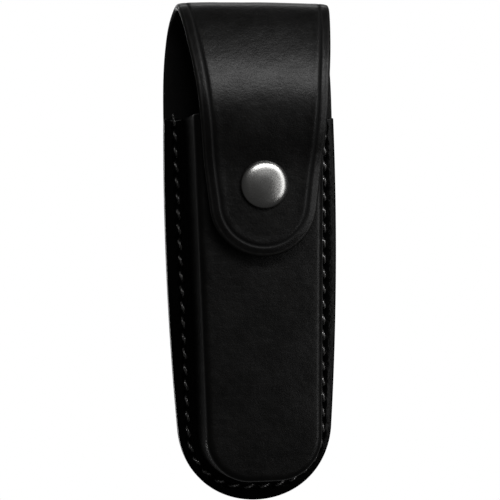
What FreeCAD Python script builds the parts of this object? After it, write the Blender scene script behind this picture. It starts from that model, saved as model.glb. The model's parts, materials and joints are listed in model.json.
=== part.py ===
import FreeCAD, Part
import collections
import math
import os
import Sketcher

# A leather belt sheath for a folding multi tool, in millimetres.
# A long back panel of thick leather carries on upwards, arches forward over the mouth and comes
# down in front as a tapering flap. A wet-moulded front panel is sewn to it round a rounded toe,
# and makes the pocket. A ring-spring snap holds the flap shut, and a leather loop sewn to the rear
# takes the belt.
#
# X is to the wearer's left as seen from the front, +Y goes back towards the wearer, +Z is up.
# The origin is on the rear face of the back panel, in the middle of the belt loop.
# The leather of back panel and flap is one piece on the real object. Here it is cut at the three
# lines where it folds, so that each stretch between two folds is a rigid body.

DIMENSIONS = [
    ("leather", 2.4, "thickness of the body leather"),
    ("toe_depth", 87.0, "from the origin down to the toe"),
    ("toe_r", 24.9, "radius of the rounded toe"),
    ("side_r", 1000.0, "radius of the slightly bowed sides"),
    ("mouth_z", 35.3, "height of the pocket's mouth"),
    ("mouth_half", 27.4, "half the width of the panels at the mouth"),
    ("pocket_depth", 18.0, "clear depth inside the pocket, front to back"),
    ("pocket_half", 22.1, "half the width of the moulded box at its root, just above the mouth"),
    ("pocket_corner_x", 4.3, "from the middle to the centre of a toe corner of the box"),
    ("pocket_corner_r", 15.2, "radius of those corners"),
    ("pocket_toe_gap", 6.7, "flange below the box at the toe"),
    ("draft", 4.0, "lean of the box's walls, in degrees"),
    ("shoulder_r", 3.4, "outer rounding between walls and front face"),
    ("root_r", 0.7, "rounding between walls and flange"),
    ("crest_z", 71.3, "height of the arch's crest"),
    ("top_arch_r", 12.8, "radius of the arch just in front of the crest, to the middle of the leather"),
    ("front_arch_r", 33.8, "radius of the arch further down in front, where it is flatter"),
    ("rear_half", 26.0, "half the width where the arch starts at the rear"),
    ("crest_half", 24.2, "half the width at the crest"),
    ("front_half", 20.5, "half the width where the arch ends in front"),
    ("fold_first", 30.0, "angle round the arch of the first fold, in degrees"),
    ("fold_step", 60.0, "angle from one fold to the next, in degrees"),
    ("fold_slit", 0.3, "half the slit between two sections, in degrees"),
    ("tip_r", 16.8, "radius of the flap's rounded tip"),
    ("tip_z", 7.6, "height of that radius's centre"),
    ("snap_z", 12.9, "height of the snap's axis"),
    ("flap_gap", 3.6, "between the pocket's front face and the flap, filled by the snap"),
    ("sheet", 0.4, "thickness of the snap's pressed parts"),
    ("post_hole_r", 2.3, "holes punched in the leather for the snap's posts"),
    ("post_r", 2.2, "outside of the snap's tubular posts"),
    ("post_bore_r", 1.8, "inside of those posts"),
    ("lip_r", 3.0, "flared lips of those posts"),
    ("cap_r", 7.0, "radius of the snap's cap"),
    ("cap_height", 2.6, "height of the cap above the flap"),
    ("cap_edge_r", 1.5, "rounded edge of the cap"),
    ("cap_crown", 0.55, "rise of the cap's domed top"),
    ("socket_r", 6.1, "radius of the socket under the flap"),
    ("socket_mouth_r", 3.3, "opening of the socket round the stud"),
    ("socket_start", 0.7, "from the pocket's front face to the socket"),
    ("stud_base_r", 5.6, "radius of the stud's base"),
    ("stud_base", 0.5, "thickness of the stud's base"),
    ("stud_neck_r", 2.7, "radius of the stud's neck"),
    ("stud_wall", 0.25, "thickness of the stud's wall"),
    ("eyelet_lip_r", 2.4, "flared lip of the eyelet inside the stud"),
    ("stud_head_r", 3.0, "radius of the stud's head"),
    ("stud_neck_end", 1.7, "from the pocket's front face to the end of the neck"),
    ("stud_height", 2.6, "from the pocket's front face to the top of the stud"),
    ("ring_r", 3.25, "radius of the spring ring, to the middle of the wire"),
    ("ring_wire_r", 0.4, "radius of that wire"),
    ("ring_start", 1.55, "from the pocket's front face to the middle of the wire"),
    ("ring_gap", 40.0, "gap in the spring ring, in degrees"),
    ("eyelet_r", 5.0, "radius of the eyelet's flange inside the pocket"),
    ("eyelet_flange", 0.5, "thickness of that flange"),
    ("belt_half", 21.0, "half the height of the belt's way through the loop"),
    ("belt_gap", 6.0, "depth of that way"),
    ("loop_half", 17.0, "half the width of the belt loop"),
    ("loop_leather", 2.2, "thickness of the belt loop"),
    ("loop_ramp", 6.0, "height over which the loop rises from the panel"),
    ("loop_tab", 9.0, "height of each sewn tab of the loop"),
    ("loop_bend_r", 1.6, "rounding of the loop's bends"),
    ("seam_gap", 2.4, "from the root of the box to the seam that follows it"),
    ("seam_rise", 1.9, "from the mouth up to the first awl hole, so that a stitch binds the edge"),
    ("stitch", 5.0, "stitch length of the seam"),
    ("tab_stitch", 4.0, "stitch length on the loop's tabs"),
    ("tab_inset_x", 2.6, "from the loop's sides to its stitching"),
    ("tab_inset_z", 2.0, "from the tabs' ends to their stitching"),
    ("tab_rows", 5.0, "height of the box of stitches on each tab"),
    ("thread_r", 0.4, "radius of the waxed thread"),
    ("thread_lift", 0.05, "between the thread and the leather it lies on"),
    ("stitch_hole_r", 0.5, "awl holes"),
]

doc = FreeCAD.newDocument("belt_sheath")
sheet = doc.addObject("Spreadsheet::Sheet", "Dims")
for row, (alias, number, meaning) in enumerate(DIMENSIONS, start=1):
    sheet.set(f"A{row}", alias)
    sheet.set(f"B{row}", str(number))
    sheet.set(f"C{row}", meaning)
    sheet.setAlias(f"B{row}", alias)
doc.recompute()

PLANE_XZ, PLANE_YZ, PLANE_XY = "XZ_Plane", "YZ_Plane", "XY_Plane"
ORIGIN, H_AXIS, V_AXIS = -1, -1, -2
START, END, CENTRE = 1, 2, 3


def is_name(word):
    return word[0].isalpha()


def value(text):
    """The number that a sum such as 'mouth_z - seam_top' or '0.5*leather' stands for."""
    total = 0.0
    sign = 1.0
    for word in text.split():
        if word in "+-":
            sign = 1.0 if word == "+" else -1.0
            continue
        product = sign
        for factor in word.split("*"):
            product *= float(sheet.get(factor)) if is_name(factor) else float(factor)
        total += product
        sign = 1.0
    return total


def bound(text):
    """The same sum as an expression on the spreadsheet."""
    words = []
    for word in text.split():
        factors = [f"Dims.{f}" if is_name(f) else f for f in word.split("*")]
        words.append("*".join(factors))
    return " ".join(words)


# ---- sketches ------------------------------------------------------------------------------


class Loop:
    """A closed outline in a sketch, drawn counter-clockwise, with its sizes bound to the sheet."""

    def __init__(self, sketch):
        self.sketch = sketch
        self.edges = []

    def line(self, start, end):
        shape = Part.LineSegment(vector(start), vector(end))
        self.edges.append(self.sketch.addGeometry(shape))
        return self.edges[-1]

    def arc(self, centre, radius, start, end):
        """A counter-clockwise arc; start and end only need to lie in the right directions."""
        circle = Part.Circle(vector(centre), FreeCAD.Vector(0, 0, 1), radius)
        angles = [math.atan2(p[1] - centre[1], p[0] - centre[0]) for p in (start, end)]
        if angles[1] < angles[0]:
            angles[1] += 2 * math.pi
        self.edges.append(self.sketch.addGeometry(Part.ArcOfCircle(circle, *angles)))
        return self.edges[-1]

    def close(self, smooth=()):
        """Joins each edge to the next; those in smooth run on tangentially."""
        for i, edge in enumerate(self.edges):
            following = self.edges[(i + 1) % len(self.edges)]
            kind = "Tangent" if edge in smooth else "Coincident"
            self.sketch.addConstraint(
                Sketcher.Constraint(kind, edge, END, following, START)
            )

    def pin(self, edge, point, across=None, up=None):
        """Fixes a point's distance from the sketch's origin, across and up."""
        for kind, text, axis in (("DistanceX", across, V_AXIS), ("DistanceY", up, H_AXIS)):
            if text is None:
                continue
            if text == "0":
                rule = Sketcher.Constraint("PointOnObject", edge, point, axis)
                self.sketch.addConstraint(rule)
                continue
            rule = Sketcher.Constraint(kind, ORIGIN, START, edge, point, value(text))
            index = self.sketch.addConstraint(rule)
            self.sketch.setExpression(f"Constraints[{index}]", bound(text))

    def radius(self, edge, text):
        rule = Sketcher.Constraint("Radius", edge, value(text))
        index = self.sketch.addConstraint(rule)
        self.sketch.setExpression(f"Constraints[{index}]", bound(text))


def vector(point):
    return FreeCAD.Vector(point[0], point[1], 0)


def upright(point):
    """A point of the rear face, from its distances across and up."""
    return FreeCAD.Vector(point[0], 0, point[1])


def polar(centre, radius, degrees):
    turn = math.radians(degrees)
    return (centre[0] + radius * math.cos(turn), centre[1] + radius * math.sin(turn))


def circles_meet(a, radius_a, b, radius_b):
    """Where two circles cross, on the left of the way from a to b."""
    away = math.dist(a, b)
    along = (radius_a**2 - radius_b**2 + away**2) / (2 * away)
    aside = math.sqrt(radius_a**2 - along**2)
    ux, uy = (b[0] - a[0]) / away, (b[1] - a[1]) / away
    return (a[0] + along * ux - aside * uy, a[1] + along * uy + aside * ux)


def touch_point(point, centre, radius):
    """Where a straight line from point, passing to the right of the circle, touches it."""
    away = math.dist(point, centre)
    bearing = math.atan2(point[1] - centre[1], point[0] - centre[0])
    angle = bearing - math.acos(radius / away)
    return polar(centre, radius, math.degrees(angle))


def mirrored(point):
    return (-point[0], point[1])


def numbers(*texts):
    return tuple(value(text) for text in texts)


def times(factor, text):
    """The text of a sum with each of its terms multiplied."""
    return " ".join(word if word in "+-" else f"{factor}*{word}" for word in text.split())


def negated(text):
    return "0" if text == "0" else times(-1, text)


def symmetric(rows):
    """Corners of an outline that mirrors onto itself, counter-clockwise. Each row is half the
    width and the height there, from the top down."""
    left = [(negated(half), height) for half, height in rows]
    return left + list(reversed(rows))


def panel_outline(sketch, crown=None):
    """Round toe, bowed sides up to the mouth and, for the back panel, a tapering strap above."""
    loop = Loop(sketch)
    toe_centre = (0.0, value("toe_r - toe_depth"))
    toe_r, side_r = numbers("toe_r", "side_r")
    mouth = numbers("mouth_half", "mouth_z")
    side_centre = circles_meet(toe_centre, side_r - toe_r, mouth, side_r)
    reach = side_r / (side_r - toe_r)
    touch = (
        side_centre[0] + (toe_centre[0] - side_centre[0]) * reach,
        side_centre[1] + (toe_centre[1] - side_centre[1]) * reach,
    )
    left = mirrored(touch)
    top = numbers(*crown) if crown else mouth
    head = loop.line(top, mirrored(top))
    if crown:
        loop.line(mirrored(top), mirrored(mouth))
    left_side = loop.arc(mirrored(side_centre), side_r, mirrored(mouth), left)
    toe = loop.arc(toe_centre, toe_r, left, touch)
    right_side = loop.arc(side_centre, side_r, touch, mouth)
    if crown:
        loop.line(mouth, top)
    loop.close(smooth=(left_side, toe))
    loop.radius(toe, "toe_r")
    loop.pin(toe, CENTRE, "0", "toe_r - toe_depth")
    for edge, point, half in ((left_side, START, "-1*mouth_half"), (right_side, END, "mouth_half")):
        loop.radius(edge, "side_r")
        loop.pin(edge, point, half, "mouth_z")
    if crown:
        loop.pin(head, START, crown[0], crown[1])
        loop.pin(head, END, negated(crown[0]), crown[1])


def tongue_outline(sketch, top_half, top_z, tip_r, tip_z):
    """Straight sides that run smoothly into one round tip."""
    loop = Loop(sketch)
    top = numbers(top_half, top_z)
    centre, radius = (0.0, value(tip_z)), value(tip_r)
    touch = touch_point(top, centre, radius)
    head = loop.line(top, mirrored(top))
    left = loop.line(mirrored(top), mirrored(touch))
    tip = loop.arc(centre, radius, mirrored(touch), touch)
    loop.line(touch, top)
    loop.close(smooth=(left, tip))
    loop.radius(tip, tip_r)
    loop.pin(tip, CENTRE, "0", tip_z)
    loop.pin(head, START, top_half, top_z)
    loop.pin(head, END, negated(top_half), top_z)


# Height of the centres of the box's toe corners.
CORNER_Z = "pocket_toe_gap - toe_depth + pocket_corner_r"


def box_outline(sketch, inset, above):
    """The moulded box or its hollow, inset from the box's root, running on above the mouth."""
    loop = Loop(sketch)
    rim = (f"pocket_half - {inset}", f"mouth_z + {above}")
    corner = ("pocket_corner_x", CORNER_Z)
    corner_r = f"pocket_corner_r - {inset}"
    top, centre, radius = numbers(*rim), numbers(*corner), value(corner_r)
    touch = touch_point(top, centre, radius)
    low = (centre[0], centre[1] - radius)
    loop.line(top, mirrored(top))
    left = loop.line(mirrored(top), mirrored(touch))
    left_corner = loop.arc(mirrored(centre), radius, mirrored(touch), mirrored(low))
    floor = loop.line(mirrored(low), low)
    right_corner = loop.arc(centre, radius, low, touch)
    right = loop.line(touch, top)
    loop.close(smooth=(left, left_corner, floor, right_corner))
    for edge, sign in ((left_corner, "-1*"), (right_corner, "")):
        loop.radius(edge, corner_r)
        loop.pin(edge, CENTRE, sign + corner[0])
    loop.pin(right_corner, CENTRE, None, corner[1])
    loop.pin(right, END, rim[0], rim[1])
    loop.pin(left, START, f"{inset} - pocket_half", rim[1])


def polygon(sketch, points):
    """A closed outline of straight edges, every corner bound to the sheet."""
    loop = Loop(sketch)
    corners = [numbers(*point) for point in points]
    edges = [
        loop.line(corner, corners[(i + 1) % len(corners)]) for i, corner in enumerate(corners)
    ]
    loop.close()
    for edge, point in zip(edges, points):
        loop.pin(edge, START, point[0], point[1])


# ---- PartDesign features -------------------------------------------------------------------


def new_body(name):
    body = doc.addObject("PartDesign::Body", name)
    body.Label = name
    return body


def origin_plane(body, role):
    return next(f for f in body.Origin.OriginFeatures if f.Role == role)


def new_sketch(body, name, role, forward=None):
    """A sketch on one of the body's origin planes, moved along its normal by a sum."""
    sketch = body.newObject("Sketcher::SketchObject", name)
    sketch.AttachmentSupport = [(origin_plane(body, role), "")]
    sketch.MapMode = "FlatFace"
    if forward is not None:
        sketch.setExpression(".AttachmentOffset.Base.z", bound(forward))
    return sketch


def circle(sketch, radius, up):
    loop = Loop(sketch)
    middle = (0.0, value(up))
    shape = Part.Circle(vector(middle), FreeCAD.Vector(0, 0, 1), value(radius))
    edge = sketch.addGeometry(shape)
    loop.radius(edge, radius)
    loop.pin(edge, CENTRE, "0", up)


def pad(body, sketch, length, name, both_ways=False, lean=None):
    feature = body.newObject("PartDesign::Pad", name)
    feature.Profile = sketch
    feature.setExpression("Length", bound(length))
    feature.SideType = "Symmetric" if both_ways else "One side"
    if lean:
        feature.setExpression("TaperAngle", bound(lean))
    doc.recompute()
    return feature


def pocket(body, sketch, name, length=None, backwards=False, lean=None):
    """Cuts the sketch out, through everything both ways if no length is given."""
    before = body.Shape.Volume
    feature = body.newObject("PartDesign::Pocket", name)
    feature.Profile = sketch
    if length is None:
        feature.SideType = "Symmetric"
        feature.Type = "ThroughAll"
    else:
        feature.setExpression("Length", bound(length))
        feature.Reversed = backwards
        if lean:
            feature.setExpression("TaperAngle", bound(lean))
    doc.recompute()
    if body.Shape.Volume > before - 1e-3:
        raise RuntimeError(f"{name} cut nothing")
    return feature


def fillet(body, name, radius, wanted):
    """Rounds those edges of the body for which wanted(edge) is true."""
    base = body.Tip
    edges = [f"Edge{i}" for i, e in enumerate(base.Shape.Edges, start=1) if wanted(e)]
    if not edges:
        raise RuntimeError(f"{name} found no edges")
    feature = body.newObject("PartDesign::Fillet", name)
    feature.Base = (base, edges)
    feature.setExpression("Radius", bound(radius))
    doc.recompute()
    return feature


def snap_section(body):
    """A sketch for half a section through the snap. Its first axis is the snap's own axis, forwards
    from the pocket's front face, and its second axis is the radius."""
    sketch = new_sketch(body, body.Label + "_section", PLANE_YZ)
    half_turn = FreeCAD.Rotation(FreeCAD.Vector(0, 1, 0), 180)
    sketch.AttachmentOffset = FreeCAD.Placement(FreeCAD.Vector(), half_turn)
    sketch.setExpression(".AttachmentOffset.Base.x", bound(negated(FRONT_FACE)))
    sketch.setExpression(".AttachmentOffset.Base.y", bound("snap_z"))
    return sketch


def revolve(body, sketch):
    turn = body.newObject("PartDesign::Revolution", body.Label + "_turned")
    turn.Profile = sketch
    turn.ReferenceAxis = (sketch, ["H_Axis"])
    turn.Angle = 360.0
    doc.recompute()
    return body


def turned(name, points):
    """A body turned about the snap's axis, from its corners as snap_section sees them."""
    body = new_body(name)
    sketch = snap_section(body)
    polygon(sketch, points)
    return revolve(body, sketch)


# ---- leather ------------------------------------------------------------------------------

# Distances forward from the rear face, along -Y, as sums on the sheet.
FRONT_FACE = "pocket_depth + 2*leather"
FLAP_BACK = "pocket_depth + 2*leather + flap_gap"

# Seen from the side the arch is egg-shaped: three arcs that run smoothly into each other. The rear
# one rises to the crest, the top one leads down 60 degrees from there, and the front one covers the
# last 30 degrees. Each is given by its centre (Y, Z) and its radius, to the middle of the leather.
# The rear radius is what the other two leave of the way from the back panel to the flap.
Arc = collections.namedtuple("Arc", ["y", "z", "radius"])
SIN_60 = math.sin(math.radians(60))
REAR_R = f"{FLAP_BACK} - {SIN_60}*top_arch_r - {1 - SIN_60}*front_arch_r"
ARCH_Y = "-0.5*leather + " + negated(REAR_R)
REAR_ARC = Arc(ARCH_Y, "crest_z - 0.5*leather + " + negated(REAR_R), REAR_R)
TOP_ARC = Arc(ARCH_Y, "crest_z - 0.5*leather - top_arch_r", "top_arch_r")
FRONT_ARC = Arc(
    negated(FLAP_BACK) + " - 0.5*leather + front_arch_r",
    "crest_z - 0.5*leather - 0.5*top_arch_r - 0.5*front_arch_r",
    "front_arch_r",
)


def arch_section(sketch, arc, first, last):
    """A stretch of the arch between two angles, seen from the side."""
    loop = Loop(sketch)
    centre = numbers(arc.y, arc.z)
    outside, inside = arc.radius + " + 0.5*leather", arc.radius + " - 0.5*leather"
    outer_r, inner_r = numbers(outside, inside)
    low_out, high_out = polar(centre, outer_r, first), polar(centre, outer_r, last)
    low_in, high_in = polar(centre, inner_r, first), polar(centre, inner_r, last)
    outer = loop.arc(centre, outer_r, low_out, high_out)
    cut = loop.line(high_out, high_in)
    shape = Part.ArcOfCircle(
        Part.Circle(vector(centre), FreeCAD.Vector(0, 0, 1), inner_r),
        math.radians(first),
        math.radians(last),
    )
    inner = sketch.addGeometry(shape)
    base = loop.line(low_in, low_out)
    ends = [
        ("Coincident", outer, END, cut, START),
        ("Coincident", cut, END, inner, END),
        ("Coincident", inner, START, base, START),
        ("Coincident", base, END, outer, START),
        ("Coincident", outer, CENTRE, inner, CENTRE),
    ]
    for end in ends:
        sketch.addConstraint(Sketcher.Constraint(*end))
    loop.radius(outer, outside)
    loop.radius(inner, inside)
    loop.pin(outer, CENTRE, arc.y, arc.z)
    # Two construction spokes hold the ends at their angles.
    for degrees, near, far in ((first, inner, outer), (last, inner, outer)):
        point = START if degrees == first else END
        spoke = sketch.addGeometry(
            Part.LineSegment(vector(centre), vector(polar(centre, outer_r, degrees))), True
        )
        sketch.addConstraint(Sketcher.Constraint("Coincident", spoke, START, outer, CENTRE))
        sketch.addConstraint(Sketcher.Constraint("Coincident", spoke, END, far, point))
        sketch.addConstraint(Sketcher.Constraint("PointOnObject", near, point, spoke))
        rule = Sketcher.Constraint("Angle", H_AXIS, spoke, math.radians(degrees))
        sketch.addConstraint(rule)


# Half the strap's width at the three folds, and where the middle of the leather is there.
Fold = collections.namedtuple("Fold", ["half", "y", "z"])
FOLDS = {
    1: Fold(
        "0.6*rear_half + 0.4*crest_half",
        REAR_ARC.y + " + " + times(SIN_60, REAR_R),
        REAR_ARC.z + " + " + times(0.5, REAR_R),
    ),
    2: Fold("crest_half", TOP_ARC.y, "crest_z - 0.5*leather"),
    3: Fold(
        "0.6*crest_half + 0.4*front_half",
        f"{TOP_ARC.y} - {SIN_60}*top_arch_r",
        TOP_ARC.z + " + 0.5*top_arch_r",
    ),
}


def fold_angle(index):
    return value("fold_first") + (index - 1) * value("fold_step")


def wide_arch(body, name, arc, first, last):
    section = new_sketch(body, name + "_section", PLANE_YZ)
    arch_section(section, arc, first, last)
    return pad(body, section, "2*mouth_half", name + "_arch", both_ways=True)


def trim_strap(body, name, role, rows, reach="3*mouth_half"):
    """Cuts away all that lies outside these rows of half widths, to give the strap its taper."""
    sketch = new_sketch(body, name, role)
    polygon(sketch, symmetric([(reach, reach), (reach, negated(reach))]))
    polygon(sketch, symmetric(rows))
    return pocket(body, sketch, name + "_cut")


def trim_end(body, name, fold, half, height):
    """The taper of an upright end of the strap, from a fold down to where its arc starts. Below
    that the cut stays clear of the sheet."""
    wide = "2*mouth_half"
    rows = [
        (fold.half, "crest_z"),
        (fold.half, fold.z),
        (half, height),
        (wide, height),
        (wide, "-2*toe_depth"),
    ]
    return trim_strap(body, name, PLANE_XZ, rows, reach="3*toe_depth")


def make_back_leather(holes):
    """The flat back panel with the start of the arch, and its stitch holes."""
    body = new_body("back_leather")
    outline = new_sketch(body, "back_outline", PLANE_XZ)
    panel_outline(outline, crown=("rear_half", REAR_ARC.z))
    pad(body, outline, "leather", "back_sheet")
    wide_arch(body, "back", REAR_ARC, 0.0, fold_angle(1) - value("fold_slit"))
    trim_end(body, "back_taper", FOLDS[1], "rear_half", REAR_ARC.z)
    return cut_holes("back_panel", body, holes)


def make_flap_section(name, index, arc):
    """One stretch of the arch, from fold number index to the next."""
    body = new_body(name)
    slit = value("fold_slit")
    wide_arch(body, name, arc, fold_angle(index) + slit, fold_angle(index + 1) - slit)
    rear, front = FOLDS[index], FOLDS[index + 1]
    # Seen from above: the width changes between the two folds and stays the same beyond them.
    rows = [
        (rear.half, "leather"),
        (rear.half, rear.y),
        (front.half, front.y),
        (front.half, negated(FLAP_BACK) + " - leather"),
    ]
    trim_strap(body, name + "_taper", PLANE_XY, rows)
    return body


def make_flap_front():
    """The end of the arch and the flat flap with its rounded tip and the hole for the cap."""
    body = new_body("flap_front")
    outline = new_sketch(body, "flap_outline", PLANE_XZ, forward=FLAP_BACK)
    tongue_outline(outline, "front_half", FRONT_ARC.z, "tip_r", "tip_z")
    pad(body, outline, "leather", "flap_sheet")
    wide_arch(body, "flap_front", FRONT_ARC, fold_angle(3) + value("fold_slit"), 180.0)
    trim_end(body, "flap_taper", FOLDS[3], "front_half", FRONT_ARC.z)
    hole = new_sketch(body, "cap_hole", PLANE_XZ)
    circle(hole, "post_hole_r", "snap_z")
    pocket(body, hole, "cap_hole_cut")
    return body


def make_front_leather(holes):
    """The flange, the moulded box with its hollow, and the holes for the snap and the seam."""
    body = new_body("front_leather")
    flange = new_sketch(body, "front_outline", PLANE_XZ, forward="leather")
    panel_outline(flange)
    pad(body, flange, "leather", "flange")
    # The box and its hollow are made taller than the sheath and cut off at the mouth at the end.
    box = new_sketch(body, "box_root", PLANE_XZ, forward="leather")
    box_outline(box, "0*leather", "4*leather")
    pad(body, box, "pocket_depth + leather", "box", lean="-1*draft")
    box_half = value("pocket_half")

    def outline_at(depth):
        """Picks the edges round the box at this depth, leaving out the flange's own outline."""
        y = -value(depth)

        def wanted(edge):
            room = edge.BoundBox
            flat = room.YLength < 1e-3 and abs(room.YMin - y) < 1e-3
            return flat and room.XMin > -box_half and room.XMax < box_half and room.ZMin < 0

        return wanted

    fillet(body, "shoulder", "shoulder_r", outline_at(FRONT_FACE))
    fillet(body, "root", "root_r", outline_at("2*leather"))
    hollow = new_sketch(body, "hollow_root", PLANE_XZ, forward="leather")
    box_outline(hollow, "leather", "8*leather")
    pocket(body, hollow, "hollow", "pocket_depth", backwards=True, lean="-1*draft")
    fillet(body, "inner_shoulder", "shoulder_r - leather", outline_at("pocket_depth + leather"))
    above = new_sketch(body, "mouth_line", PLANE_XZ)
    polygon(above, symmetric([("2*mouth_half", "3*mouth_z"), ("2*mouth_half", "mouth_z")]))
    pocket(body, above, "mouth_cut")
    eyelet = new_sketch(body, "eyelet_hole", PLANE_XZ)
    circle(eyelet, "post_hole_r", "snap_z")
    pocket(body, eyelet, "eyelet_hole_cut")
    return cut_holes("front_panel", body, holes)


def make_belt_loop(holes):
    """A strip sewn down at both ends and standing off the panel between them."""
    body = new_body("loop_leather_strip")
    profile = new_sketch(body, "loop_profile", PLANE_YZ)
    foot = "belt_half + loop_ramp"
    end = "belt_half + loop_ramp + loop_tab"
    # A bend of 45 degrees moves the outer corner by 0.414 of the thickness.
    outer_foot, outer_bend = foot + " + 0.414*loop_leather", "belt_half + 0.414*loop_leather"
    inner = [("0", end), ("0", foot), ("belt_gap", "belt_half")]
    outer = [
        ("belt_gap + loop_leather", outer_bend), ("loop_leather", outer_foot), ("loop_leather", end),
    ]
    inner_low = [(y, negated(z)) for y, z in reversed(inner)]
    outer_low = [(y, negated(z)) for y, z in reversed(outer)]
    polygon(profile, inner + inner_low + outer_low + outer)
    pad(body, profile, "2*loop_half", "loop_strip", both_ways=True)
    long_edges = value("2*loop_half") - 0.01
    bend_zs = [value(z) for z in (foot, "belt_half", outer_foot, outer_bend)]
    fillet(
        body, "loop_bends", "loop_bend_r",
        lambda e: e.BoundBox.XLength > long_edges
        and any(abs(abs(e.CenterOfMass.z) - z) < 0.01 for z in bend_zs),
    )
    end_z = value(end)
    fillet(
        body, "loop_corners", "2*loop_bend_r",
        lambda e: abs(abs(e.CenterOfMass.z) - end_z) < 0.01 and e.BoundBox.YLength > 1
        and e.BoundBox.XLength < 0.01,
    )
    return cut_holes("belt_loop", body, holes)


# ---- seams ---------------------------------------------------------------------------------


def seam_points():
    """Stitch holes of the main seam, from the right of the mouth round the toe to the left. The
    seam follows the root of the moulded box."""
    top = numbers("pocket_half + seam_gap", "mouth_z + seam_rise")
    centre = numbers("pocket_corner_x", CORNER_Z)
    radius = value("pocket_corner_r + seam_gap")
    touch, low = touch_point(top, centre, radius), (centre[0], centre[1] - radius)
    bend = polar(centre, radius, -45)

    def line(start, end):
        return Part.LineSegment(upright(start), upright(end))

    def arc(*places):
        return Part.Arc(*[upright(place) for place in places])

    run = [
        line(top, touch),
        arc(touch, bend, low),
        line(low, mirrored(low)),
        arc(mirrored(low), mirrored(bend), mirrored(touch)),
        line(mirrored(touch), mirrored(top)),
    ]
    wire = Part.Wire([piece.toShape() for piece in run])
    count = round(wire.Length / value("stitch"))
    return wire.discretize(Number=count + 1)


def tab_points(upper):
    """Stitch holes of the box of stitches on one tab of the belt loop, in order round the box."""
    half = value("loop_half - tab_inset_x")
    outer = value("belt_half + loop_ramp + loop_tab - tab_inset_z")
    inner = outer - value("tab_rows")
    side = 1 if upper else -1
    corners = [(half, outer), (-half, outer), (-half, inner), (half, inner)]
    points = []
    for i, (x, z) in enumerate(corners):
        next_x, next_z = corners[(i + 1) % 4]
        steps = max(1, round(math.dist((x, z), (next_x, next_z)) / value("tab_stitch")))
        for k in range(steps):
            share = k / steps
            place = (x + (next_x - x) * share, 0, side * (z + (next_z - z) * share))
            points.append(FreeCAD.Vector(*place))
    return points


def at_depth(point, y):
    return FreeCAD.Vector(point.x, y, point.z)


def rod(start, end, radius):
    way = end - start
    return Part.makeCylinder(radius, way.Length, start, way)


def hole_tool(name, points, rear, front):
    """The awl holes as one cutting tool, from the rear face to the front one."""
    shapes = [
        rod(at_depth(p, rear + 1), at_depth(p, front - 1), value("stitch_hole_r")) for p in points
    ]
    tool = doc.addObject("Part::Feature", name)
    tool.Shape = Part.makeCompound(shapes)
    return tool


def cut_holes(name, body, holes):
    """The body with the stitch holes cut out of it; this is the sub-part."""
    cut = doc.addObject("Part::Cut", name)
    cut.Base = body
    cut.Tool = holes
    cut.Label = name
    return cut


def make_thread(name, path, legs, middle, closed=False):
    """One thread of a lock stitch. It runs along the path on the leather, and from each of the
    points in legs it goes in as far as the middle, where it meets the other thread."""
    radius = value("thread_r")
    following = path[1:] + path[:1] if closed else path[1:]
    pieces = [rod(a, b, radius) for a, b in zip(path, following)]
    # The knot is a little thicker than the run and the leg a little thinner, and its poles point
    # away from all of them, so that their surfaces cross cleanly.
    slant = FreeCAD.Vector(3, 5, 8)
    pieces += [Part.makeSphere(1.1 * radius, point, slant) for point in path]
    pieces += [rod(point, at_depth(point, middle), 0.9 * radius) for point in legs]
    thread = doc.addObject("Part::Feature", name)
    thread.Shape = pieces[0].multiFuse(pieces[1:])
    thread.Label = name
    return thread


def flat_path(points, surface, outwards):
    """The thread's middle line over these holes, on the side of the surface it lies on."""
    height = surface + outwards * value("thread_r + thread_lift")
    return [at_depth(p, height) for p in points]


def seam_front_path(points):
    """As flat_path, but the first and last holes are in the back panel just above the mouth, and
    their stitches come over the front panel's edge. Returns the path and the points with legs."""
    back_face, front_face = -value("leather"), -value("2*leather")
    ends = flat_path([points[0], points[-1]], back_face, -1)
    between = flat_path(points[1:-1], front_face, -1)
    edge_z = value("mouth_z + thread_r + thread_lift")
    bends = [FreeCAD.Vector(end.x, between[0].y, edge_z) for end in ends]
    path = [ends[0], bends[0]] + between + [bends[1], ends[1]]
    return path, ends + between


# ---- snap ----------------------------------------------------------------------------------


def make_eyelet():
    """Flange inside the pocket, tube through the leather, lip flared inside the stud."""
    face = "-1*leather"
    return turned("snap_eyelet", [
        (face + " - eyelet_flange", "post_bore_r"),
        ("stud_base + sheet", "post_bore_r"),
        ("stud_base + sheet", "eyelet_lip_r"),
        ("stud_base", "eyelet_lip_r"),
        ("stud_base", "post_r"),
        (face, "post_r"),
        (face, "eyelet_r"),
        (face + " - eyelet_flange", "eyelet_r"),
    ])


def make_stud():
    """Base on the pocket's front face, waisted neck and a head that the spring ring grips."""
    wall = "stud_neck_r - stud_wall"
    return turned("snap_stud", [
        ("0*sheet", "post_r + 0.02"),
        ("stud_base", "post_r + 0.02"),
        ("stud_base", wall),
        ("stud_height - sheet", wall),
        ("stud_height - sheet", "post_bore_r"),
        ("stud_height", "post_bore_r"),
        ("stud_height", "stud_neck_r - 0.25*sheet"),
        ("stud_height - sheet", "stud_head_r"),
        ("stud_neck_end + sheet", "stud_head_r"),
        ("stud_neck_end", "stud_neck_r"),
        ("stud_base", "stud_neck_r"),
        ("stud_base", "stud_base_r"),
        ("0*sheet", "stud_base_r"),
    ])


def make_socket():
    """A drum open towards the stud; the spring ring lies inside it."""
    rim = "socket_r - sheet"
    return turned("snap_socket", [
        ("socket_start", "socket_mouth_r"),
        ("socket_start + sheet", "socket_mouth_r"),
        ("socket_start + sheet", rim),
        ("flap_gap - sheet", rim),
        ("flap_gap - sheet", "socket_r"),
        ("socket_start", "socket_r"),
    ])


def make_socket_plate():
    """The disc between the socket and the leather, held by the lip of the cap's post."""
    return turned("snap_socket_plate", [
        ("flap_gap - sheet", "post_hole_r"),
        ("flap_gap", "post_hole_r"),
        ("flap_gap", "socket_r"),
        ("flap_gap - sheet", "socket_r"),
    ])


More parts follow.
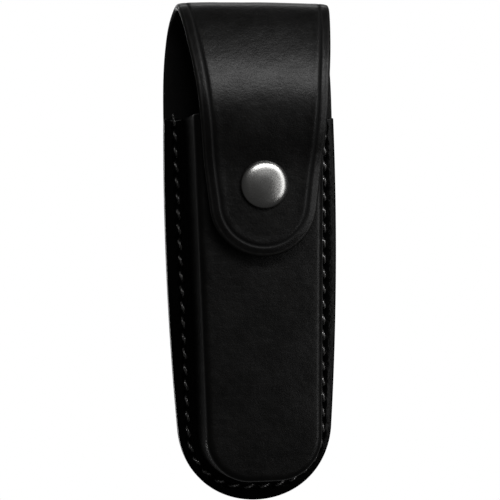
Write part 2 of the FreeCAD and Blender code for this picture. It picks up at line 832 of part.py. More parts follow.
def make_cap_post():
    """Disc under the cap, tube through the flap, lip flared inside the socket."""
    leather_top = "flap_gap + leather"
    return turned("snap_cap_post", [
        ("flap_gap - 2*sheet", "post_bore_r"),
        (leather_top + " + sheet", "post_bore_r"),
        (leather_top + " + sheet", "cap_r - 2*sheet"),
        (leather_top, "cap_r - 2*sheet"),
        (leather_top, "post_r"),
        ("flap_gap - sheet", "post_r"),
        ("flap_gap - sheet", "lip_r"),
        ("flap_gap - 2*sheet", "lip_r"),
    ])


def make_cap():
    """A domed shell with a rounded edge, standing on the flap."""
    body = new_body("snap_cap")
    sketch = snap_section(body)
    loop = Loop(sketch)
    foot = "flap_gap + leather"
    top = foot + " + cap_height"
    edge_z = foot + " + cap_height - cap_crown - cap_edge_r"
    outer_foot, inner_foot = numbers(foot, "cap_r"), numbers(foot, "cap_r - sheet")
    edge_r, crown, shell = numbers("cap_edge_r", "cap_crown", "sheet")
    edge_centre = numbers(edge_z, "cap_r - cap_edge_r")
    # The dome is the sphere through the top that runs smoothly into the rounded edge.
    run = edge_centre[1]
    rise = crown
    dome_r = edge_r + (run**2 + rise**2) / (2 * rise)
    dome_centre = (value(top) - dome_r, 0.0)
    reach = dome_r / (dome_r - edge_r)
    touch = (
        dome_centre[0] + (edge_centre[0] - dome_centre[0]) * reach,
        edge_centre[1] * reach,
    )
    inner_touch = (
        dome_centre[0] + (touch[0] - dome_centre[0]) * (dome_r - shell) / dome_r,
        touch[1] * (dome_r - shell) / dome_r,
    )
    apex, inner_apex = (value(top), 0.0), (value(top) - shell, 0.0)
    side_top = (edge_centre[0], value("cap_r"))
    inner_side_top = (edge_centre[0], value("cap_r - sheet"))
    dome = loop.arc(dome_centre, dome_r, apex, touch)
    edge = loop.arc(edge_centre, edge_r, touch, side_top)
    side = loop.line(side_top, outer_foot)
    base = loop.line(outer_foot, inner_foot)
    inner_side = loop.line(inner_foot, inner_side_top)

    def clockwise(centre, radius, start, end):
        """The arc from start back to end, whose own start is at end."""
        angles = [math.atan2(p[1] - centre[1], p[0] - centre[0]) for p in (end, start)]
        whole = Part.Circle(vector(centre), FreeCAD.Vector(0, 0, 1), radius)
        return sketch.addGeometry(Part.ArcOfCircle(whole, *angles))

    inner_edge = clockwise(edge_centre, edge_r - shell, inner_side_top, inner_touch)
    inner_dome = clockwise(dome_centre, dome_r - shell, inner_touch, inner_apex)
    axis_line = sketch.addGeometry(Part.LineSegment(vector(inner_apex), vector(apex)))
    rules = [
        ("Tangent", dome, END, edge, START),
        ("Tangent", edge, END, side, START),
        ("Coincident", side, END, base, START),
        ("Coincident", base, END, inner_side, START),
        ("Tangent", inner_side, END, inner_edge, END),
        ("Tangent", inner_edge, START, inner_dome, END),
        ("Coincident", inner_dome, START, axis_line, START),
        ("Coincident", axis_line, END, dome, START),
        ("Coincident", dome, CENTRE, inner_dome, CENTRE),
        ("Coincident", edge, CENTRE, inner_edge, CENTRE),
    ]
    for rule in rules:
        sketch.addConstraint(Sketcher.Constraint(*rule))
    loop.radius(edge, "cap_edge_r")
    loop.pin(edge, CENTRE, edge_z, "cap_r - cap_edge_r")
    loop.pin(dome, CENTRE, None, "0")
    loop.pin(dome, START, top, "0")
    loop.pin(inner_dome, START, top + " - sheet", "0")
    loop.pin(base, START, foot, None)
    loop.pin(base, END, foot, None)
    return revolve(body, sketch)


def make_spring_ring():
    """A split ring of spring wire round the stud's neck, open at the bottom."""
    ring = doc.addObject("Part::Torus", "snap_spring_ring")
    ring.Label = "snap_spring_ring"
    ring.setExpression("Radius1", bound("ring_r"))
    ring.setExpression("Radius2", bound("ring_wire_r"))
    ring.Angle1 = -180
    ring.Angle2 = 180
    ring.setExpression("Angle3", "360 - Dims.ring_gap")
    # The torus lies in the XZ plane, turned about its own axis to leave the gap below.
    tilt = FreeCAD.Rotation(FreeCAD.Vector(1, 0, 0), 90)
    spin = FreeCAD.Rotation(FreeCAD.Vector(0, 0, 1), -90 + value("0.5*ring_gap"))
    y = -value(FRONT_FACE) - value("ring_start")
    ring.Placement = FreeCAD.Placement(FreeCAD.Vector(0, y, value("snap_z")), tilt.multiply(spin))
    doc.recompute()
    return ring


# ---- the whole sheath ----------------------------------------------------------------------


def build():
    rear, middle, front = 0.0, -value("leather"), -value("2*leather")
    loop_face = value("loop_leather")
    seam = seam_points()
    seam_rear = flat_path(seam, rear, 1)
    tabs = {"upper": tab_points(True), "lower": tab_points(False)}
    through_panels = seam + tabs["upper"] + tabs["lower"]
    back_holes = hole_tool("back_stitch_holes", through_panels, loop_face, middle)
    front_holes = hole_tool("front_stitch_holes", seam, rear, front)
    loop_holes = hole_tool("loop_stitch_holes", tabs["upper"] + tabs["lower"], loop_face, middle)
    parts = [
        make_back_leather(back_holes),
        make_flap_section("flap_rear", 1, REAR_ARC),
        make_flap_section("flap_top", 2, TOP_ARC),
        make_flap_front(),
        make_front_leather(front_holes),
        make_belt_loop(loop_holes),
        make_thread("seam_thread_front", *seam_front_path(seam), middle),
        make_thread("seam_thread_rear", seam_rear, seam_rear, middle),
    ]
    for name, points in tabs.items():
        for side, surface, outwards in (("outer", loop_face, 1), ("inner", middle, -1)):
            path = flat_path(points, surface, outwards)
            parts.append(make_thread(f"loop_{name}_thread_{side}", path, path, rear, closed=True))
    parts += [
        make_cap(),
        make_cap_post(),
        make_socket(),
        make_socket_plate(),
        make_spring_ring(),
        make_stud(),
        make_eyelet(),
    ]
    doc.recompute()
    return parts


def check_and_write(parts):
    """Stops on any failed object or bad shape, then writes one STEP file for each sub-part."""
    failed = [o.Label for o in doc.Objects if {"Invalid", "Error"} & set(o.State)]
    if failed:
        raise RuntimeError(f"objects failed to recompute: {failed}")
    os.makedirs("parts", exist_ok=True)
    for part in parts:
        shape = part.Shape
        if shape.isNull() or not shape.isValid() or not shape.Solids:
            raise RuntimeError(f"{part.Label} has no valid solid")
        shape.exportStep(os.path.join("parts", part.Label + ".step"))
        print(f"{part.Label:26s} {len(shape.Solids):3d} solids {shape.Volume:10.1f} mm3")


check_and_write(build())
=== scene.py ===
import bmesh
import bpy
import json
import math
import numpy as np
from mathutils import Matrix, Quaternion, Vector, noise


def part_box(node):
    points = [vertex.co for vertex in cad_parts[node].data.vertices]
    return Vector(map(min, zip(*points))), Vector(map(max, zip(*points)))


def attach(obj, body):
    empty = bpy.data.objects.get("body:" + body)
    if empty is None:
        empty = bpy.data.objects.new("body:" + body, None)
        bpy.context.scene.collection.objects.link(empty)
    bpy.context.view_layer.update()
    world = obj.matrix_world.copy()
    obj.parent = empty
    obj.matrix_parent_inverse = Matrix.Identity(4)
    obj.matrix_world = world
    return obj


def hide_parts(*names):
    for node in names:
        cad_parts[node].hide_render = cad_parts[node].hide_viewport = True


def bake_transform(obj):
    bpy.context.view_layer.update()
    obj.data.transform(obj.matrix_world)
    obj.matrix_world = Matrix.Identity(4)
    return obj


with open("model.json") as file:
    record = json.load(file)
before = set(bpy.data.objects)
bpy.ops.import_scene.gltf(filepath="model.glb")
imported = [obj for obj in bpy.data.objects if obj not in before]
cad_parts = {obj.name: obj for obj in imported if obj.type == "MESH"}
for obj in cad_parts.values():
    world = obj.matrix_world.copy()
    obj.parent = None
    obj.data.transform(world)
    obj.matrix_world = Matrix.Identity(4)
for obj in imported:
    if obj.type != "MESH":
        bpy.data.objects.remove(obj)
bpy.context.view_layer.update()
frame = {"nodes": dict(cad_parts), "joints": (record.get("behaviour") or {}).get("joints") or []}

# A black leather belt sheath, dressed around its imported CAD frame. Lengths are in millimetres until
# a mesh is made. "Unrolled" coordinates lie in the leather: x across, s along from the toe up the
# back, over the crest and down the flap, n outwards from the middle of its thickness.
MM = 0.001


def low(node, axis):
    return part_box(node)[0][axis] / MM


def high(node, axis):
    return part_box(node)[1][axis] / MM


X, Y, Z = 0, 1, 2

# Heights and widths that the CAD gives.
TOE_Z = low("back_panel", Z)
MOUTH_Z = high("front_panel", Z)
SNAP_Z = (low("snap_cap", Z) + high("snap_cap", Z)) / 2
LOOP_OUT = high("belt_loop", Y)
LOOP_END = high("belt_loop", Z)
LOOP_HALF = high("belt_loop", X)

# Leather, and the panels' outline: a rounded toe, slightly bowed sides and the mouth's corners.
HALF_LEATHER = 1.2
TOE_R = 25.1
SIDE_R = 1000.0
MOUTH_HALF = 27.6

# The moulded box: face and flange (y), half its width, and its lower corners' centre and radius.
FLANGE_FACE = -4.8
POCKET_FACE = -22.8
BOX_HALF = 22.1
BOX_CORNER = (4.3, TOE_Z + 21.9)
BOX_CORNER_R = 15.2

# The main seam: its distance from the box, its start above the mouth, and its stitch.
SEAM_GAP = 2.4
SEAM_RISE = 1.9
STITCH = 5.0

# The flap's rounded tip: its radius, and its lowest point (z).
TIP_R = 16.8
TIP_DROP = -9.2


# ---- curves ---------------------------------------------------------------------------------


def spline(points, step=0.25):
    """A natural cubic spline through points, as points a step apart."""
    points = np.array(points, float)
    knots = np.concatenate([[0], np.cumsum(np.linalg.norm(np.diff(points, axis=0), axis=1))])
    count = len(points)
    gaps = np.diff(knots)
    matrix, right = np.eye(count), np.zeros((count, points.shape[1]))
    for i in range(1, count - 1):
        matrix[i, i - 1:i + 2] = gaps[i - 1], 2 * (gaps[i - 1] + gaps[i]), gaps[i]
        slope = np.diff(points[i - 1:i + 2], axis=0) / gaps[i - 1:i + 1, None]
        right[i] = 6 * (slope[1] - slope[0])
    bend = np.linalg.solve(matrix, right)
    t = np.linspace(0, knots[-1], int(knots[-1] / step) + 1)
    i = np.clip(np.searchsorted(knots, t, side="right") - 1, 0, count - 2)
    a, b, h = (knots[i + 1] - t)[:, None], (t - knots[i])[:, None], gaps[i][:, None]
    return (
        bend[i] * a**3 / (6 * h) + bend[i + 1] * b**3 / (6 * h)
        + (points[i] / h - bend[i] * h / 6) * a + (points[i + 1] / h - bend[i + 1] * h / 6) * b
    )


def arc_lengths(points):
    return np.concatenate([[0], np.cumsum(np.linalg.norm(np.diff(points, axis=0), axis=1))])


def unit(vectors):
    return vectors / np.linalg.norm(vectors, axis=-1, keepdims=True)


def smooth(t):
    t = np.clip(t, 0, 1)
    return t * t * (3 - 2 * t)


class Strap:
    """The side view of back panel and flap: middle of the leather against s."""

    # Outer face from the side, (y, z). The rear arc is the CAD's; in front the leather bulges a
    # little over the mouth before the snap draws it back.
    ARCH = [
        (0.0, 57.5), (-0.35, 61.3), (-1.9, 64.7), (-4.8, 67.5), (-8.7, 69.6), (-13.2, 70.85),
        (-17.0, 69.75), (-20.3, 66.9), (-23.6, 62.6), (-26.7, 57.3), (-29.4, 51.7),
        (-31.5, 45.7), (-32.75, 39.5), (-32.85, 34.2), (-31.9, 28.6), (-30.3, 23.2), (-29.15, 18.0),
        (-28.85, 12.9), (-28.75, 7.5), (-28.5, 0.0), (-28.2, TIP_DROP),
    ]

    def __init__(self):
        rear = [(0.0, z) for z in np.linspace(TOE_Z, 50.0, 24)]
        outer = spline(rear + self.ARCH)
        along = unit(np.gradient(outer, axis=0))
        out = np.stack([along[:, 1], -along[:, 0]], axis=1)
        self.middle = outer - HALF_LEATHER * out
        self.s = arc_lengths(self.middle)
        self.out = out
        turning = np.degrees(np.arctan2(out[:, 1], out[:, 0]))
        self.turning = np.maximum.accumulate(np.where(turning < -90, turning + 360, turning))

    def at(self, s):
        """(y, z) of the middle and the outward direction, for an array of s."""
        place = [np.interp(s, self.s, self.middle[:, i]) for i in (0, 1)]
        out = [np.interp(s, self.s, self.out[:, i]) for i in (0, 1)]
        return np.stack(place, axis=-1), unit(np.stack(out, axis=-1))

    def s_at_turning(self, degrees):
        bent = self.s > S_MOUTH
        return float(np.interp(degrees, self.turning[bent], self.s[bent]))

    def s_in_front(self, z):
        front = self.middle[:, 0] < -20
        return float(np.interp(-z, -self.middle[front][:, 1], self.s[front]))


S_MOUTH = MOUTH_Z - TOE_Z
strap = Strap()
S_REAR = strap.s_at_turning(60.0)
S_FRONT = strap.s_at_turning(120.0)
S_CREST = strap.s_at_turning(90.0)
S_TIP_CENTRE = strap.s_in_front(TIP_DROP + TIP_R)

# Half the strap's width: up the rear against height, then down the front.
REAR_WIDTHS = [(MOUTH_Z, MOUTH_HALF), (48.0, 27.35), (55.0, 26.85), (61.0, 26.15)]
FRONT_WIDTHS = [
    (63.0, 23.15), (57.5, 22.4), (51.7, 21.6), (46.1, 20.85), (37.7, 20.05), (30.0, 19.35),
    (22.6, 18.7), (16.0, 17.95),
]
WIDTHS = [(z - TOE_Z, half) for z, half in REAR_WIDTHS]
WIDTHS += [(S_CREST, 24.5)] + [(strap.s_in_front(z), half) for z, half in FRONT_WIDTHS]
WIDTH_CURVE = spline(WIDTHS)


def half_width(s):
    return np.interp(s, WIDTH_CURVE[:, 0], WIDTH_CURVE[:, 1])


# ---- meshes ---------------------------------------------------------------------------------


def link(obj):
    bpy.context.scene.collection.objects.link(obj)
    return obj


def mesh_object(name, points, rests, press, faces, slots, materials):
    """A smooth closed mesh. rests holds each point's place in the flat leather, for the grain, and
    the list after it the painted shade, from 0 to 1, that darkens and roughens the leather in creases
    and slots."""
    mesh = bpy.data.meshes.new(name)
    mesh.from_pydata([tuple(p) for p in np.asarray(points) * MM], [], faces)
    mesh.polygons.foreach_set("material_index", slots)
    mesh.polygons.foreach_set("use_smooth", [True] * len(mesh.polygons))
    rest = mesh.attributes.new("rest", "FLOAT_VECTOR", "POINT")
    rest.data.foreach_set("vector", (np.asarray(rests) * MM).astype(np.float32).ravel())
    pressed = mesh.attributes.new("press", "FLOAT", "POINT")
    pressed.data.foreach_set("value", np.asarray(press, np.float32))
    for material in materials:
        mesh.materials.append(material)
    made = bmesh.new()
    made.from_mesh(mesh)
    bmesh.ops.recalc_face_normals(made, faces=made.faces)
    made.to_mesh(mesh)
    made.free()
    return link(bpy.data.objects.new(name, mesh))


class Builder:
    """Gathers points, welding those with the same rest place, and faces between rows of them."""

    def __init__(self):
        self.points, self.rests, self.press, self.found = [], [], [], {}
        self.faces, self.slots = [], []

    def add(self, point, rest, press=0.0):
        key = tuple(int(round(c * 2000)) for c in rest)
        if key not in self.found:
            self.found[key] = len(self.points)
            self.points.append(point)
            self.rests.append(rest)
            self.press.append(press)
        return self.found[key]

    def face(self, corners, slot):
        ring = [c for i, c in enumerate(corners) if c != corners[i - 1]]
        if len(ring) > 2:
            self.faces.append(ring)
            self.slots.append(slot)

    def grid(self, points, rests, slots, press):
        """Faces over an array of points; slots is the material for each step along a row."""
        rows, columns = points.shape[:2]
        press = np.broadcast_to(press, (rows, columns))
        ids = [
            [self.add(points[i, j], rests[i, j], press[i, j]) for j in range(columns)]
            for i in range(rows)
        ]
        for i in range(rows - 1):
            for j in range(columns - 1):
                a, b = ids[i], ids[i + 1]
                self.face([a[j], b[j], b[j + 1], a[j + 1]], slots[j])
        return ids

    def object(self, name, materials):
        press = self.press + [0.0] * (len(self.points) - len(self.press))
        return mesh_object(name, self.points, self.rests, press, self.faces, self.slots, materials)


# ---- a sheet of leather from its outline ------------------------------------------------------

GRAIN, EDGE, FLESH, FLANGE = 0, 1, 2, 3


def sheet_columns(crease, edge_r, grain_height, flesh_height, fine, coarse):
    """Steps across the leather: from the medial line on the grain side, round the edge and back on
    the flesh side. Each is (inset, share of the way to the medial line, n, material)."""
    steps = [(fine[-1], share, grain_height(fine[-1]), GRAIN) for share in reversed(coarse)]
    steps += [(d, 0.0, grain_height(d), GRAIN) for d in reversed(fine)]
    # Painted shade along the creased line, one value for each step: it darkens the leather's colour
    # there.
    pressed = [math.exp(-(((step[0] - crease) / 0.5) ** 2)) for step in steps]
    top = grain_height(edge_r)
    turns = [math.radians(a) for a in (18, 36, 54, 72, 90)]
    steps += [
        (edge_r * (1 - math.sin(a)), 0.0, top - edge_r * (1 - math.cos(a)), EDGE) for a in turns
    ]
    low = flesh_height(edge_r)
    steps += [
        (edge_r * (1 - math.sin(a)), 0.0, low + edge_r * (1 - math.cos(a)), EDGE)
        for a in reversed(turns)
    ]
    steps += [(d, 0.0, flesh_height(d), FLESH) for d in fine if d >= edge_r]
    steps += [(fine[-1], share, flesh_height(fine[-1]), FLESH) for share in coarse]
    return steps, np.array(pressed + [0.0] * (len(steps) - len(pressed)))


def tongue_rows(side, centre, radius, touch, sign, steps, fan=None, floor=()):
    """Rows from a straight-sided boundary round a corner: outline, inward direction and medial
    point for the right half. side holds (half width, s) down to where the corner's arc touches it.
    All rows round the corner and along the floor (given as x values) run to the point fan."""
    rows = []
    fan = centre[1] if fan is None else fan
    begin = centre[1] - sign * 12.0
    end = side[-1][1]
    for half, s in side:
        line = min(max((s - begin) / (end - begin), 0.0), 1.0)
        turn = touch * float(smooth(line))
        medial = s if line == 0 else begin + (fan - begin) * line
        rows.append(((half, s), (-math.cos(turn), -sign * math.sin(turn)), (0.0, medial)))
    for turn in np.linspace(touch, math.pi / 2, steps)[1:]:
        across, up = math.cos(turn), math.sin(turn)
        reach = radius(turn) if callable(radius) else radius
        place = (centre[0] + reach * across, centre[1] + sign * reach * up)
        rows.append((place, (-across, -sign * up), (0.0, fan)))
    for x in floor:
        rows.append(((x, centre[1] + sign * radius), (0.0, -float(sign)), (0.0, fan)))
    return rows


def mirror_row(row):
    return tuple((-a, b) for a, b in row)


def sheet_mesh(name, runs, columns, place, materials, caps=True):
    """Sheet leather over runs of rows. Each run's two ends are cut straight and closed."""
    built = Builder()
    columns, press = columns
    for rows in runs:
        outline, inward, medial = (np.array([row[i] for row in rows]) for i in range(3))
        flat = np.zeros((len(rows), len(columns), 3))
        for j, (inset, share, n, _) in enumerate(columns):
            at = outline + inward * inset
            at = at + (medial - at) * share
            flat[:, j, :2] = at
            flat[:, j, 2] = n
        ids = built.grid(place(flat), flat, [c[3] for c in columns[1:]], press)
        if caps:
            built.face(ids[0], FLESH)
            built.face(ids[-1], FLESH)
        else:
            for i in range(len(ids) - 1):
                built.face([ids[i][0], ids[i][-1], ids[i + 1][-1], ids[i + 1][0]], FLESH)
    return built.object(name, materials)


# How far the strap is crowned, and its unevenness as (length of a wave, height, seed).
STRAP_CROWN = 0.5
WAVES = [(14.0, 0.16, 3.7), (4.0, 0.03, 9.1)]


def wobble(flat):
    """Gentle unevenness of the sheet, the same on both faces."""
    total = np.zeros(flat.shape[:-1]).ravel()
    for reach, height, seed in WAVES:
        total += height * np.array([
            noise.noise(Vector((x / reach, s / reach, seed))) for x, s, _ in flat.reshape(-1, 3)
        ])
    return total.reshape(flat.shape[:-1])


def crown(s):
    """How far the middle of the strap stands out beyond its sides."""
    return STRAP_CROWN * smooth((s - S_REAR + 12) / 14) * (1 - smooth((s - S_FRONT) / 34))


def strap_place(flat):
    """Unrolled to real places, along the strap."""
    x, s, n = flat[..., 0], flat[..., 1], flat[..., 2]
    middle, out = strap.at(s)
    half = np.maximum(half_width(s), 1.0)
    lift = crown(s) * (0.5 - (x / half) ** 2)
    # The panel itself lies flat; only the part above the mouth is free to be uneven.
    free = smooth((s - S_MOUTH - 4) / 16)
    # Stretched over the crest, the leather keeps less of its crease and rounded margin.
    stretched = 0.75 * smooth((s - S_REAR) / 8) * (1 - smooth((s - S_CREST - 4) / 10))
    n = n + (HALF_LEATHER - n) * stretched * smooth((n - 0.2) / 0.8)
    height = n + lift + wobble(flat) * free
    y = middle[..., 0] + out[..., 0] * height
    z = middle[..., 1] + out[..., 1] * height
    return np.stack([x, y, z], axis=-1)


# The strap's creased line: its distance from the edge, half width and depth; the margin that is
# rounded off outside it, and the leather that swells up inside it.
CREASE, CREASE_WIDE, CREASE_DEEP = 3.3, 0.42, 0.27
MARGIN, MARGIN_DROP = 3.0, 0.62
SWELL, SWELL_IN, SWELL_WIDE = 0.12, 1.3, 0.9


def bell(d, wide):
    """A smooth hump, 1 high, about d = 0."""
    return math.exp(-((d / wide) ** 2))


def strap_grain(d):
    """Height of the grain face at a distance from the edge."""
    crease = CREASE_DEEP * bell(d - CREASE, CREASE_WIDE)
    margin = MARGIN_DROP * (1 - float(smooth(d / MARGIN)))
    swell = SWELL * bell(d - CREASE - SWELL_IN, SWELL_WIDE)
    return HALF_LEATHER - crease - margin + swell


def strap_flesh(d):
    return -HALF_LEATHER + 0.1 * (1 - float(smooth(d / 2.0)))


# Where the mesh has lines: distances from the edge, then shares of the way to the middle.
FINE = [
    1.0, 1.3, 1.7, 2.1, 2.45, 2.7, 2.88, 3.02, 3.14, 3.24, 3.34, 3.45, 3.57, 3.72, 3.92, 4.2, 4.6,
    5.2, 6.0,
]
COARSE = [0.1, 0.2, 0.32, 0.44, 0.56, 0.68, 0.8, 0.9, 1.0]
STRAP_EDGE_R = 1.0
STRAP_COLUMNS = sheet_columns(CREASE, STRAP_EDGE_R, strap_grain, strap_flesh, FINE, COARSE)


def touch_angle(half, away, radius):
    """Angle at which a line from a point this far out and away first touches a circle."""
    distance = math.hypot(half, away)
    return math.acos(radius / distance) - math.atan2(away, half)


def side_rows(values):
    return [((float(half_width(s)), s), (-1.0, 0.0), (0.0, s)) for s in values]


def straight_then_tip():
    """Right half of the flap from the front cut to the middle of its tip."""
    start = strap.s_in_front(16.0)
    upper = [(float(half_width(s)), s) for s in np.linspace(S_FRONT, start, 72)]
    away = S_TIP_CENTRE - start
    half = upper[-1][0]
    turn = touch_angle(half, away, TIP_R)
    touch = (TIP_R * math.cos(turn), S_TIP_CENTRE + TIP_R * math.sin(turn))
    steps = np.linspace(0, 1, 14)[1:]
    lower = [(half + (touch[0] - half) * t, start + (touch[1] - start) * t) for t in steps]
    return tongue_rows(upper + lower, (0.0, S_TIP_CENTRE), TIP_R, turn, 1, 34)


def panel_side(s):
    """Half the width of the panels up to the mouth: a slightly bowed side."""
    gap = SIDE_R - TOE_R
    # The side's circle touches the toe's from inside and goes through the mouth's corner.
    reach = math.hypot(MOUTH_HALF, S_MOUTH - TOE_R)
    along = (gap**2 - SIDE_R**2 + reach**2) / (2 * reach)
    aside = math.sqrt(gap**2 - along**2)
    ux, uy = MOUTH_HALF / reach, (S_MOUTH - TOE_R) / reach
    centre = (along * ux - aside * uy, TOE_R + along * uy + aside * ux)
    turn = math.atan2(TOE_R - centre[1], -centre[0])
    half = centre[0] + np.sqrt(SIDE_R**2 - (s - centre[1]) ** 2)
    touch = (-centre[0] * TOE_R / gap, TOE_R + (TOE_R - centre[1]) * TOE_R / gap)
    return half, touch, -turn


def toe_reach(turn):
    """The toe is a little fuller than a circle."""
    return TOE_R + 0.3 * math.sin(turn) ** 2 + 0.35 * math.sin(2 * turn) ** 2


def panel_rows(top, extra):
    """Right half of a panel's outline, from s = top down to the middle of the toe."""
    _, touch, turn = panel_side(0.0)
    above = [(float(half_width(s)), s) for s in extra]
    count = int((min(top, S_MOUTH) - touch[1]) / 1.1)
    below = [(float(panel_side(s)[0]), s) for s in np.linspace(min(top, S_MOUTH), touch[1], count)]
    return tongue_rows(above + below, (0.0, TOE_R), toe_reach, turn, -1, 40)


def u_run(rows):
    return [mirror_row(row) for row in rows] + list(reversed(rows[:-1]))


def make_back(materials):
    extra = np.linspace(S_REAR, S_MOUTH + 0.7, 64)
    obj = sheet_mesh(
        "back_leather", [u_run(panel_rows(S_MOUTH, extra))], STRAP_COLUMNS, strap_place, materials
    )
    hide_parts("back_panel", "flap_rear")
    return obj


def make_crest(materials):
    rows = side_rows(np.linspace(S_REAR, S_FRONT, 40))
    left = [mirror_row(row) for row in rows]
    return sheet_mesh("crest_leather", [rows, left], STRAP_COLUMNS, strap_place, materials)


def make_flap(materials):
    obj = sheet_mesh(
        "flap_leather", [u_run(straight_then_tip())], STRAP_COLUMNS, strap_place, materials
    )
    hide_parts("flap_front", "flap_top")
    return obj


# ---- front panel ------------------------------------------------------------------------------

# Lean of the box's walls, roundings of its shoulder and root, and the face that is sewn down.
DRAFT = math.tan(math.radians(4.0))
SHOULDER_R, INNER_SHOULDER_R, ROOT_R = 2.4, 0.6, 0.7
SHOULDER_Y = POCKET_FACE + SHOULDER_R
JOINT_Y = -2.45
THICK = 2 * HALF_LEATHER
# The groove under the seam, the flange's rounded edge, and the rounded lip of the mouth.
GROOVE_DEEP, GROOVE_WIDE = 0.22, 0.5
EDGE_R, EDGE_BACK_R, EDGE_DROP, EDGE_WIDE = 0.95, 0.35, 0.25, 1.2
LIP_R = 0.7
LIP_TURNS = np.radians([90, 66, 44, 22, 0])
ROW_STEP = 0.45
# How far the leather of the box's walls is uneven, and over what length.
UNEVEN, UNEVEN_REACH = 0.16, 11.0


def touch_below(top, centre, radius):
    """Where a line down from top first touches a circle, as (point, angle below level)."""
    dx, dy = top[0] - centre[0], top[1] - centre[1]
    distance = math.hypot(dx, dy)
    turn = math.acos(radius / distance) - math.atan2(dy, dx)
    return (centre[0] + radius * math.cos(turn), centre[1] - radius * math.sin(turn)), turn


def inside_panel(x, s, touch_s):
    if s > touch_s:
        return abs(x) < panel_side(s)[0]
    return math.hypot(x, s - TOE_R) < toe_reach(math.atan2(TOE_R - s, abs(x)))


def flange_width(place, inward, touch_s):
    """How far it is from the box's root out to the panel's edge."""
    near, far = 0.0, 14.0
    for _ in range(24):
        middle = (near + far) / 2
        x, s = place[0] - inward[0] * middle, place[1] - inward[1] * middle
        near, far = (middle, far) if inside_panel(x, s, touch_s) else (near, middle)
    return near


def seam_line():
    """Awl holes of the main seam as (x, z), from the right of the mouth round to the left."""
    top = (BOX_HALF + SEAM_GAP, MOUTH_Z + SEAM_RISE)
    radius = BOX_CORNER_R + SEAM_GAP
    _, turn = touch_below(top, BOX_CORNER, radius)
    arc = [
        (BOX_CORNER[0] + radius * math.cos(a), BOX_CORNER[1] - radius * math.sin(a))
        for a in np.linspace(turn, math.pi / 2, 200)
    ]
    half = [top] + arc
    whole = np.array(half + [(-x, z) for x, z in reversed(half)])
    along = arc_lengths(whole)
    places = np.linspace(0, along[-1], round(along[-1] / STITCH) + 1)
    return np.stack([np.interp(places, along, whole[:, i]) for i in (0, 1)], axis=1)


SEAM = seam_line()
# The awl's slots in the flange: half their length, half their width, depth, and height of the rim.
SLOT_HALF, SLOT_WIDE, SLOT_DEEP, RIM = 1.5, 0.8, 0.95, 0.2
BOX_CROWN = 0.35


def front_profile(width):
    """The section through one wall of the box, front and back faces matched point by point. Each
    is (inset from the root, y, share of the way to the medial line)."""
    front, back = [], []
    centre = (SHOULDER_Y - JOINT_Y) * -DRAFT + SHOULDER_R / math.cos(math.atan(DRAFT))
    for share in (1.0, 0.88, 0.76, 0.64, 0.52, 0.4, 0.28, 0.17, 0.08):
        front.append((centre, POCKET_FACE, share))
        back.append((centre, POCKET_FACE + THICK, share))
    for a in np.radians([90, 80, 70, 60, 50, 40, 30, 20, 10, -4]):
        across, up = math.cos(a), math.sin(a)
        front.append((centre - SHOULDER_R * across, SHOULDER_Y - SHOULDER_R * up, 0.0))
        back.append((centre - INNER_SHOULDER_R * across, SHOULDER_Y - INNER_SHOULDER_R * up, 0.0))
    root_y = FLANGE_FACE - ROOT_R
    for y in np.linspace(SHOULDER_Y + 0.5, root_y, 8)[1:-1]:
        wall = (JOINT_Y - y) * DRAFT
        front.append((wall, y, 0.0))
        back.append((wall + THICK, y, 0.0))
    root_in = (JOINT_Y - root_y) * DRAFT - ROOT_R
    back_root = [(0.1, -5.0), (0.05, -4.2), (0.0, -3.6), (-0.08, -3.1), (-0.35, -2.7), (-0.8, -2.5)]
    for a, (inner, y) in zip(np.radians([0, 18, 36, 54, 72, 90]), back_root):
        front.append((root_in + ROOT_R * math.cos(a), root_y + ROOT_R * math.sin(a), 0.0))
        back.append((THICK + inner, y, 0.0))
    spans = [0.85, 1.25, 1.6, 1.85, 2.05, 2.25, 2.4, 2.55, 2.75, 2.95, 3.2, 3.5]
    last = width - EDGE_R
    spans += [3.5 + (last - 3.5) * t for t in (0.33, 0.66, 1.0)]
    for d in spans:
        groove = GROOVE_DEEP * bell(d - SEAM_GAP, GROOVE_WIDE)
        margin = EDGE_DROP * float(smooth((d - last + EDGE_WIDE) / EDGE_WIDE))
        front.append((-d, FLANGE_FACE + groove + margin, 0.0))
        back.append((-max(d, 0.9) + (1.0 if d < 0.9 else 0.0), JOINT_Y, 0.0))
    for a in np.radians([18, 36, 54, 72, 90]):
        across, up = math.sin(a), 1 - math.cos(a)
        front.append((-last - EDGE_R * across, FLANGE_FACE + EDGE_DROP + EDGE_R * up, 0.0))
        back.append((-last - EDGE_R * across, JOINT_Y - EDGE_BACK_R * up, 0.0))
    return np.array(front), np.array(back)


def dimples(points):
    """How deep the leather is drawn in at the awl's slots, with a rim pushed up round each."""
    gone = np.zeros(points.shape[:-1])
    for (x, z), (way_x, way_z) in zip(SEAM[1:-1], unit(SEAM[2:] - SEAM[:-2])):
        right, up = points[..., 0] - x, points[..., 2] - z
        along, aside = right * way_x + up * way_z, right * way_z - up * way_x
        away = np.hypot(along / SLOT_HALF, aside / SLOT_WIDE)
        gone += SLOT_DEEP * np.exp(-(away**3)) - RIM * np.exp(-(((away - 1.4) / 0.3) ** 2))
    return gone


def front_crown(x, z):
    """The box's face stands out a little in the middle, but not where the stud draws it in."""
    across = 1 - np.clip(np.abs(x) / 19.0, 0, 1) ** 2
    full = BOX_CROWN * across * smooth((z - TOE_Z - 8.0) / 22.0)
    return full * smooth((np.hypot(x, z - SNAP_Z) - 5.6) / 9.0)


